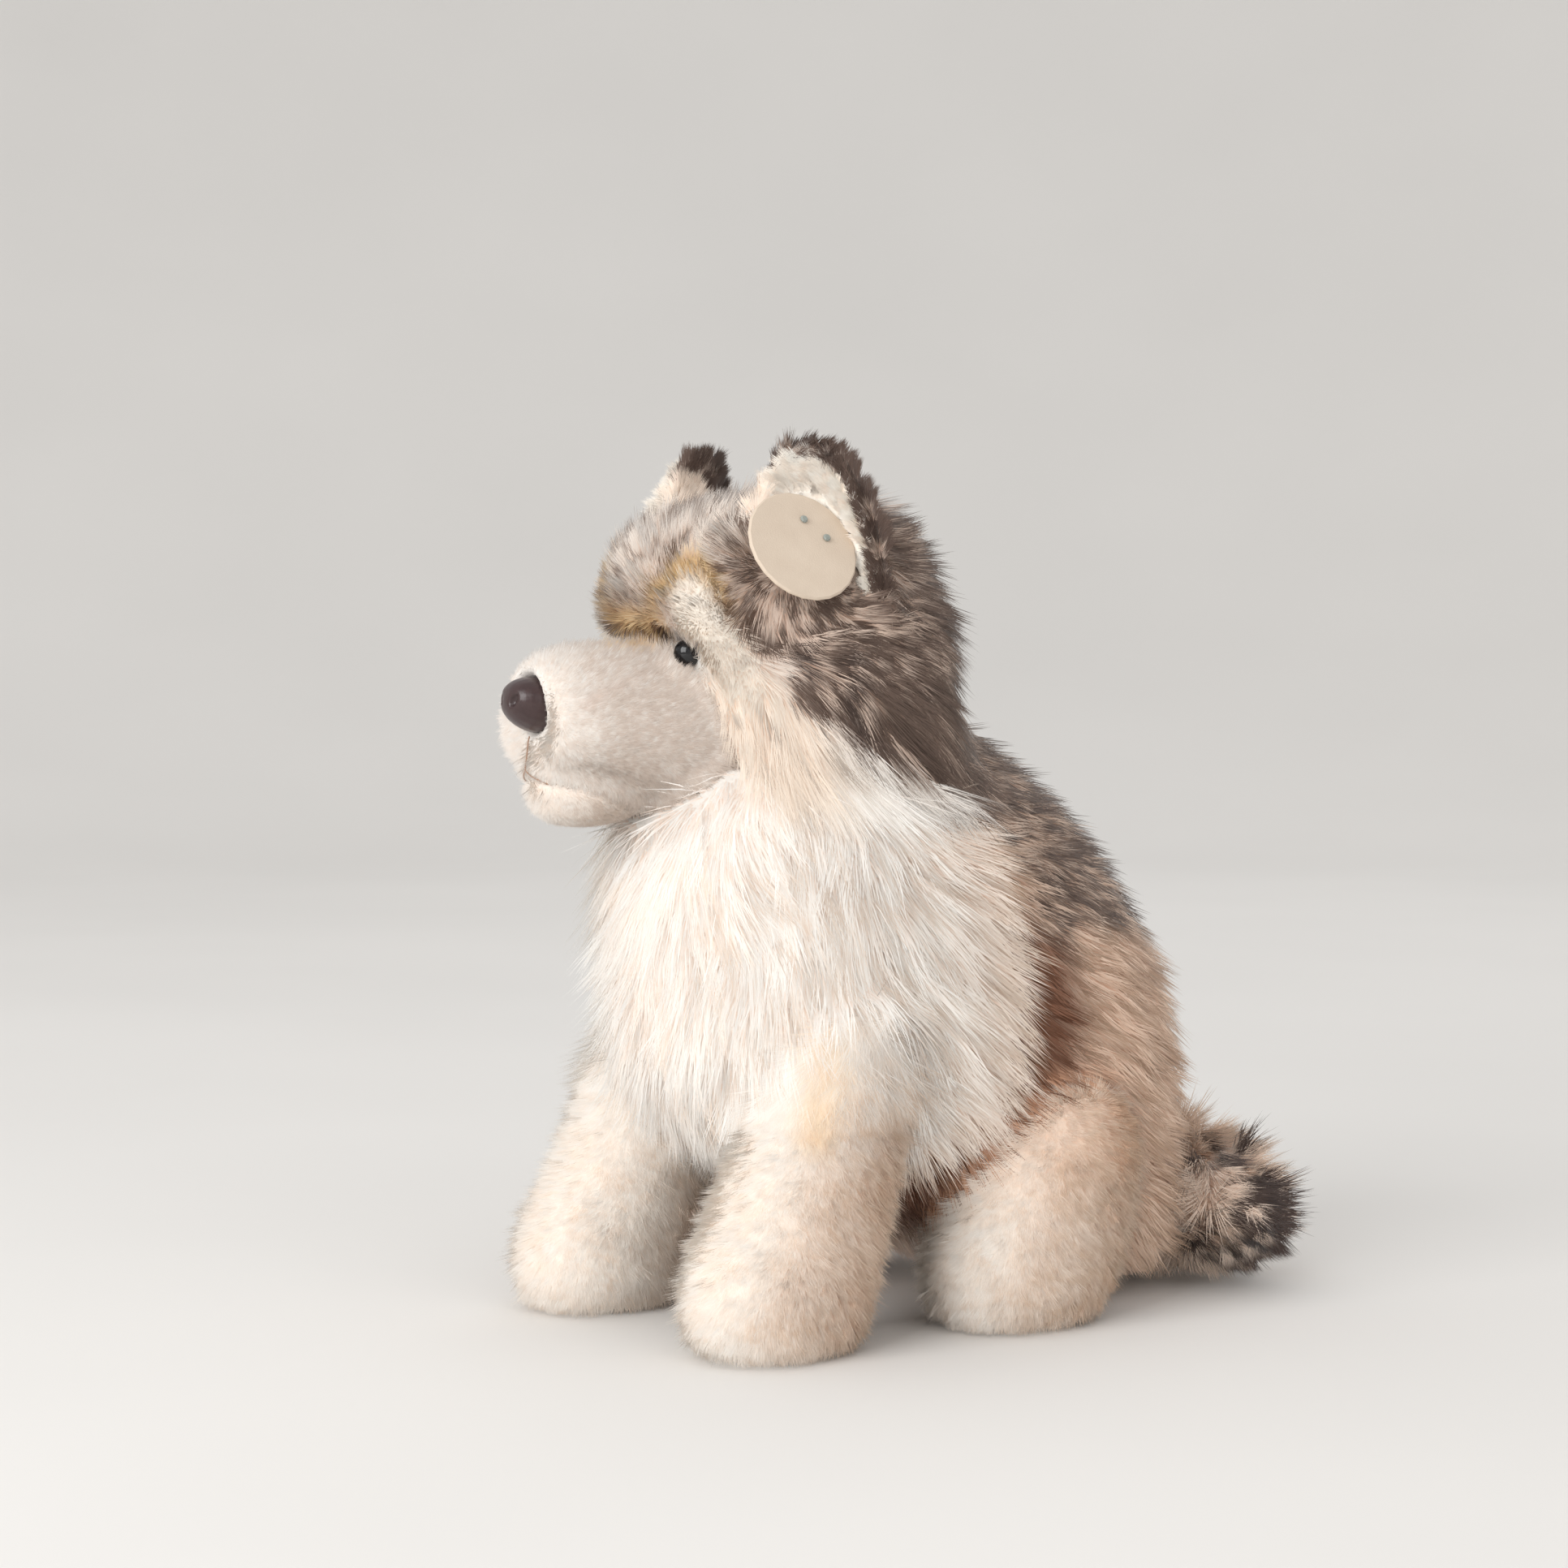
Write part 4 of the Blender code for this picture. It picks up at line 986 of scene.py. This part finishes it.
def laid_thread(name, lines, tree, rise, radius):
    """A round thread along each line of points, laid just above the covers' surface."""
    curve = bpy.data.curves.new(name, "CURVE")
    curve.dimensions = "3D"
    curve.bevel_depth = radius
    curve.bevel_resolution = 2
    curve.use_fill_caps = True
    for line in lines:
        spline = curve.splines.new("POLY")
        fine = []
        for start, end in zip(line[:-1], line[1:]):
            fine += [start.lerp(end, i / THREAD_STEPS) for i in range(THREAD_STEPS)]
        fine.append(line[-1])
        laid = []
        for point in fine:
            spot, normal, _, _ = tree.find_nearest(point)
            laid.append(spot + normal * rise)
        for _ in range(THREAD_ROUNDS):
            inside = range(1, len(laid) - 1)
            inner = [(laid[i - 1] + laid[i] * 2.0 + laid[i + 1]) / 4.0 for i in inside]
            laid = [laid[0], *inner, laid[-1]]
        spline.points.add(len(laid) - 1)
        for i, point in enumerate(laid):
            spline.points[i].co = (*point, 1.0)
    thread = bpy.data.objects.new(name, curve)
    bpy.context.scene.collection.objects.link(thread)
    mesh = bpy.data.meshes.new_from_object(thread)
    bpy.data.objects.remove(thread)
    mesh.shade_smooth()
    made = bpy.data.objects.new(name, mesh)
    bpy.context.scene.collection.objects.link(made)
    return made


def make_thread_material(name, tone):
    """Twisted sewing thread: its ply shows as fine slanting bands."""
    material, tree, shader = new_material(name)
    ply = add(tree, "ShaderNodeTexWave", bands_direction="DIAGONAL")
    ply.inputs["Scale"].default_value = 900.0
    feed(tree, add(tree, "ShaderNodeTexCoord").outputs["Object"], ply.inputs["Vector"])
    tint = mixed(tree, ply.outputs[0], (*(tone * 0.7), 1.0), (*(tone * 1.2), 1.0))
    feed(tree, tint, shader.inputs["Base Color"])
    shader.inputs["Roughness"].default_value = 0.8
    return material


mouth_tree = cover_tree(muzzle_cover)
mouth_lines = [[head_point(place, 1.0) for place in LIP_LINE]]
for side in (1.0, -1.0):
    mouth_lines.append([head_point(place, side) for place in MOUTH_LINE])
mouth_thread = laid_thread("mouth_thread", mouth_lines, mouth_tree, THREAD_RISE, THREAD_RADIUS)
brown_thread = make_thread_material("brown sewing thread", dyed(168, 134, 112))
mouth_thread.data.materials.append(brown_thread)
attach(mouth_thread, "root")

# Ears: dark plush outside and pale plush inside, sewn together round the rim and set into the head.
# The lining's hair stands out past the rim at its lower front edge.
EAR_DRAWN_IN = 0.0022
EAR_VOXEL = 0.0015
EAR_PILE = 0.0080
LINING_DRAWN_IN = 0.0006
LINING_VOXEL = 0.0012
LINING_PILE = 0.0120
LINING_TIP_PILE = 0.0075
LINING_REAR_PILE = 0.0050

# The two ears are the same brown plush; the left one is painted browner than the right, and that difference
# is painted shade
for side_name, seed, brown_and_shade in (("left", 41, 0.74), ("right", 47, 0.52)):
    node = "ear_" + side_name
    ear_cover, points, normals, shares = make_cover(node, EAR_DRAWN_IN, EAR_VOXEL)
    _, ahead, up = head_places(points).T
    coat = new_coat(len(points), dyed(214, 198, 186), dyed(100, 82, 73), EAR_PILE)
    front_rim = past(ahead - np.median(ahead), 0.007, 0.005)
    front_rim *= short_of(up, up.max() - 0.006, 0.006)
    work_in(coat, front_rim, light=CREAM)
    coat["shade"] = (brown_and_shade + 0.14 * mottling(points, 0.006)) * (1.0 - 0.9 * front_rim)
    way = np.tile((0.35, -0.25, 1.0), (len(points), 1))
    comb = clear_of_tag(points, coat, head_way(points, way))
    dress(ear_cover, coat, comb, normals, shares)
    ear_fur = grow(
        ear_cover, long_fur, seed, strands=20000, levels=2, width=0.00040, locks=130000.0,
        frizz=0.20, spread=0.30, pull=0.45, droop=0.0,
    )
    hand_over(ear_cover, ear_fur, node)

    node = "ear_lining_" + side_name
    lining_cover, points, normals, shares = make_cover(node, LINING_DRAWN_IN, LINING_VOXEL)
    _, ahead, up = head_places(points).T
    count = len(points)
    coat = new_coat(count, dyed(254, 249, 240), PEACH, LINING_PILE, 0.55)
    coat["shade"] = 0.08 + 0.06 * mottling(points, 0.004)
    front_side = past(ahead - np.median(ahead), -0.004, 0.006)
    work_in(coat, past(up - up.max(), -0.016, 0.012), pile=LINING_TIP_PILE)
    coat["pile"] = blend(np.full(count, LINING_REAR_PILE), front_side, coat["pile"])
    way = np.tile((-0.1, 0.9, 0.30), (count, 1))
    comb = clear_of_tag(points, coat, head_way(points, way))
    dress(lining_cover, coat, comb, normals, shares, 1.2 * front_side)
    lining_fur = grow(
        lining_cover, short_fur, seed + 1, strands=26000, levels=2, width=0.00036, locks=260000.0,
        frizz=0.25, spread=0.20, pull=0.35, droop=0.0,
    )
    hand_over(lining_cover, lining_fur, node)

# Legs: tubes of short cream pile filled tight, each closed by a paw, and sewn into the torso.
# A faint ochre stripe is airbrushed down the front legs, and the back and outer sides are tan, partly the
# plush's own tan and partly painted shade.
LEG_DRAWN_IN = 0.0014
LEG_PILE = 0.0072
LEG_RUFF_PILE = 0.013
LEG_STRIPE = ((0.013, 0.050, 0.094), (0.015, 0.060, 0.066))

for pair, seed in (("front_leg", 53), ("hind_leg", 61)):
    for side_name, step in (("left", 0), ("right", 1)):
        node = pair + "_" + side_name
        leg_cover, points, normals, shares = make_cover(node, LEG_DRAWN_IN)
        places = body_places(points)
        ahead = places[:, 1]
        up = places[:, 2]
        count = len(points)
        # Tan where the surface faces back or out, and high on the hind legs: partly the plush's own tan,
        # partly painted shade on the sides turned from the window light
        facing_back = past(normals[:, 1], -0.15, 0.9)
        facing_out = past(normals[:, 0] * np.sign(points[:, 0]), 0.55, 0.5)
        tan_and_shade = np.clip(0.55 * facing_back + 0.35 * facing_out, 0.0, 1.0)
        if pair == "hind_leg":
            tan_and_shade = np.clip(tan_and_shade + 0.35 * past(up, 0.030, 0.030), 0.0, 1.0)
        coat = new_coat(count, dyed(253, 247, 239), dyed(228, 202, 178), LEG_PILE, 0.55)
        work_in(coat, tan_and_shade, light=dyed(249, 216, 188))
        coat["shade"] = 0.14 + 0.22 * tan_and_shade + 0.08 * mottling(points, 0.006)
        if pair == "front_leg":
            middle = 0.5 * (points[:, 0].min() + points[:, 0].max())
            stripe_places = np.column_stack((points[:, 0] - middle, ahead, up))
            stripe = near_path(stripe_places, LEG_STRIPE, 0.0040, 0.0060)
            work_in(coat, past(up, 0.048, 0.036), light=WHITE)
            work_in(coat, stripe * 0.7, light=dyed(246, 216, 168))
            work_in(coat, past(up, 0.064, 0.012), pile=LEG_RUFF_PILE, lay=0.88)
        outward = 0.2 * np.sign(points[:, 0])
        comb = np.column_stack((outward, np.full(count, -0.35), np.full(count, -1.0)))
        shares *= past(up, 0.002, 0.003)
        dress(leg_cover, coat, comb, normals, shares)
        leg_fur = grow(
            leg_cover, short_fur, seed + step, strands=90000, levels=1, width=0.00042,
            locks=260000.0, frizz=0.40, spread=0.30, pull=0.35, droop=0.05,
        )
        hand_over(leg_cover, leg_fur, node)

# Tail: a short loosely filled tube of long fur, cream below and dark towards its tip.
# It is sewn to the rump and lies out to the left behind the haunch.
TAIL_DRAWN_IN = 0.0060
TAIL_PILE = 0.022

tail_cover, points, normals, shares = make_cover("tail", TAIL_DRAWN_IN)
sideways = points[:, 0] - HOME[0]
count = len(points)
coat = new_coat(count, dyed(249, 230, 214), dyed(84, 70, 65), TAIL_PILE, 0.70)
middle_height = 0.5 * (points[:, 2].min() + points[:, 2].max())
edgeward = past(np.abs(points[:, 2] - middle_height), 0.005, 0.006)
end_side = past(sideways, 0.048, 0.010)
coat["shade"] = 0.04 + 0.54 * past(sideways, 0.022, 0.030) * np.maximum(edgeward, end_side)
rearward = 0.5 - 0.8 * past(sideways, 0.01, 0.05)
comb = np.column_stack((np.full(count, 1.0), rearward, 0.35 * normals[:, 2]))
dress(tail_cover, coat, comb, normals, shares)
tail_fur = grow(
    tail_cover, long_fur, 71, strands=20000, levels=2, width=0.00045, locks=90000.0,
    frizz=0.18, spread=0.35, pull=0.5, droop=0.10,
)
hand_over(tail_cover, tail_fur, "tail")

# Eyes and nose: moulded glossy plastic, each on a flanged shank that goes through the plush.
# A lock washer is pressed onto each shank from behind and grips the plush against the flange.
MOULDED_ROUNDS = 6


def make_moulded(node, voxel, material):
    """A moulded piece in its plastic."""
    piece = evened(node + "_moulding", node, voxel, MOULDED_ROUNDS)
    piece.data.shade_smooth()
    piece.data.materials.clear()
    piece.data.materials.append(material)
    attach(piece, "root")
    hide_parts(node)
    return piece


def make_plastic(name, tone, roughness, grain):
    """Moulded plastic with a fine uneven surface."""
    material, tree, shader = new_material(name)
    tint = mixed(tree, clouds(tree, 350.0), (*(tone * 0.75), 1.0), (*(tone * 1.25), 1.0))
    feed(tree, tint, shader.inputs["Base Color"])
    feed(tree, relief(tree, clouds(tree, 2500.0), grain, 0.0001), shader.inputs["Normal"])
    shader.inputs["Roughness"].default_value = roughness
    return material


nose_plastic = make_plastic("glossy brown plastic", dyed(62, 44, 44), 0.28, 0.5)
eye_plastic = make_plastic("glossy black plastic", dyed(26, 26, 28), 0.10, 0.0)
washer_plastic = make_plastic("plain white plastic", dyed(214, 214, 210), 0.45, 0.3)
make_moulded("nose", 0.0005, nose_plastic)
for side_name in ("left", "right"):
    make_moulded("eye_" + side_name, 0.0004, eye_plastic)


def set_material(node, material):
    """Give a CAD node that is shown as it stands its material."""
    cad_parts[node].data.materials.clear()
    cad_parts[node].data.materials.append(material)


for node in ("nose_washer", "eye_washer_left", "eye_washer_right"):
    set_material(node, washer_plastic)

# Ear tag: a punched disc of pale leather with a bare face. It lies on the ear's outer pile and
# is held by two grey plastic pins that go through it into the ear.
leather, tree, shader = new_material("tag leather")
grain = add(tree, "ShaderNodeTexVoronoi")
grain.inputs["Scale"].default_value = 2200.0
feed(tree, add(tree, "ShaderNodeTexCoord").outputs["Object"], grain.inputs["Vector"])
tint = mixed(tree, clouds(tree, 120.0, 6.0), (*dyed(208, 190, 171), 1.0), (*dyed(224, 208, 189), 1.0))
feed(tree, tint, shader.inputs["Base Color"])
feed(tree, relief(tree, grain.outputs[0], 0.35, 0.0001), shader.inputs["Normal"])
shader.inputs["Roughness"].default_value = 0.6
set_material("ear_tag", leather)
pin_plastic = make_plastic("plain grey plastic", dyed(150, 156, 150), 0.40, 0.3)
for node in ("tag_pin_upper", "tag_pin_lower"):
    set_material(node, pin_plastic)

# Floor, light and camera: a pale floor that rises all round into a backdrop, window light from the
# wolf's front, and a camera at the photograph's place.
CAMERA_SPOT = HOME + Vector((0.7806, -0.6361, 0.21))
CAMERA_BEARING = math.radians(52.0)
CAMERA_PITCH = math.radians(87.2)
LAMPS_MEET = Vector((0.0, 0.0, 0.13))
FLOOR_MIDDLE = 0.6
FLOOR_FLAT = 1.9
FLOOR_REACH = 3.4
FLOOR_RISE = 1.3
FLOOR_SIDES = 72
FLOOR_RINGS = 28

floor_mesh = bpy.data.meshes.new("floor")
vertices = [(0.0, 0.0, 0.0)]
for ring in range(FLOOR_RINGS):
    reach = FLOOR_MIDDLE + (FLOOR_REACH - FLOOR_MIDDLE) * ring / (FLOOR_RINGS - 1)
    height = FLOOR_RISE * max(0.0, (reach - FLOOR_FLAT) / (FLOOR_REACH - FLOOR_FLAT)) ** 2.0
    for i in range(FLOOR_SIDES):
        turn = 2.0 * math.pi * i / FLOOR_SIDES
        vertices.append((reach * math.cos(turn), reach * math.sin(turn), height))
faces = [(0, 1 + i, 1 + (i + 1) % FLOOR_SIDES) for i in range(FLOOR_SIDES)]
for ring in range(FLOOR_RINGS - 1):
    inner = 1 + ring * FLOOR_SIDES
    outer = inner + FLOOR_SIDES
    for i in range(FLOOR_SIDES):
        after = (i + 1) % FLOOR_SIDES
        faces.append((inner + i, outer + i, outer + after, inner + after))
floor_mesh.from_pydata(vertices, [], faces)
floor_mesh.shade_smooth()
floor = bpy.data.objects.new("floor", floor_mesh)
bpy.context.scene.collection.objects.link(floor)
paper, tree, shader = new_material("pale floor")
shader.inputs["Roughness"].default_value = 0.8
shader.inputs["Specular IOR Level"].default_value = 0.2
tint = mixed(tree, clouds(tree, 3.0), (*dyed(232, 230, 227), 1.0), (*dyed(240, 238, 235), 1.0))
feed(tree, tint, shader.inputs["Base Color"])
floor_mesh.materials.append(paper)


def make_lamp(name, spot, size, watts, colour):
    """A soft square lamp that faces the wolf's middle."""
    data = bpy.data.lights.new(name, "AREA")
    data.size = size
    data.energy = watts
    data.color = colour
    lamp = bpy.data.objects.new(name, data)
    bpy.context.scene.collection.objects.link(lamp)
    lamp.location = spot
    lamp.rotation_euler = (LAMPS_MEET - spot).to_track_quat("-Z", "Y").to_euler()


make_lamp("window", Vector((0.25, -1.80, 1.05)), 1.3, 26.0, (1.0, 1.0, 1.0))
make_lamp("fill", Vector((1.7, -0.3, 0.9)), 1.4, 4.0, (1.0, 1.0, 1.0))
make_lamp("back", Vector((-0.9, 1.4, 1.3)), 1.2, 3.0, (0.97, 0.98, 1.0))
world = bpy.data.worlds.new("room")
bpy.context.scene.world = world
world.use_nodes = True
sky = world.node_tree.nodes["Background"]
sky.inputs["Color"].default_value = (1.0, 0.99, 0.98, 1.0)
sky.inputs["Strength"].default_value = 0.66

camera_data = bpy.data.cameras.new("camera")
camera_data.lens = 75.0
camera_data.sensor_width = 36.0
camera = bpy.data.objects.new("camera", camera_data)
bpy.context.scene.collection.objects.link(camera)
camera.location = CAMERA_SPOT
camera.rotation_euler = (CAMERA_PITCH, 0.0, CAMERA_BEARING)
bpy.context.scene.camera = camera
bpy.context.scene.view_settings.view_transform = "Standard"

for blade in blades.values():
    bpy.data.objects.remove(blade)
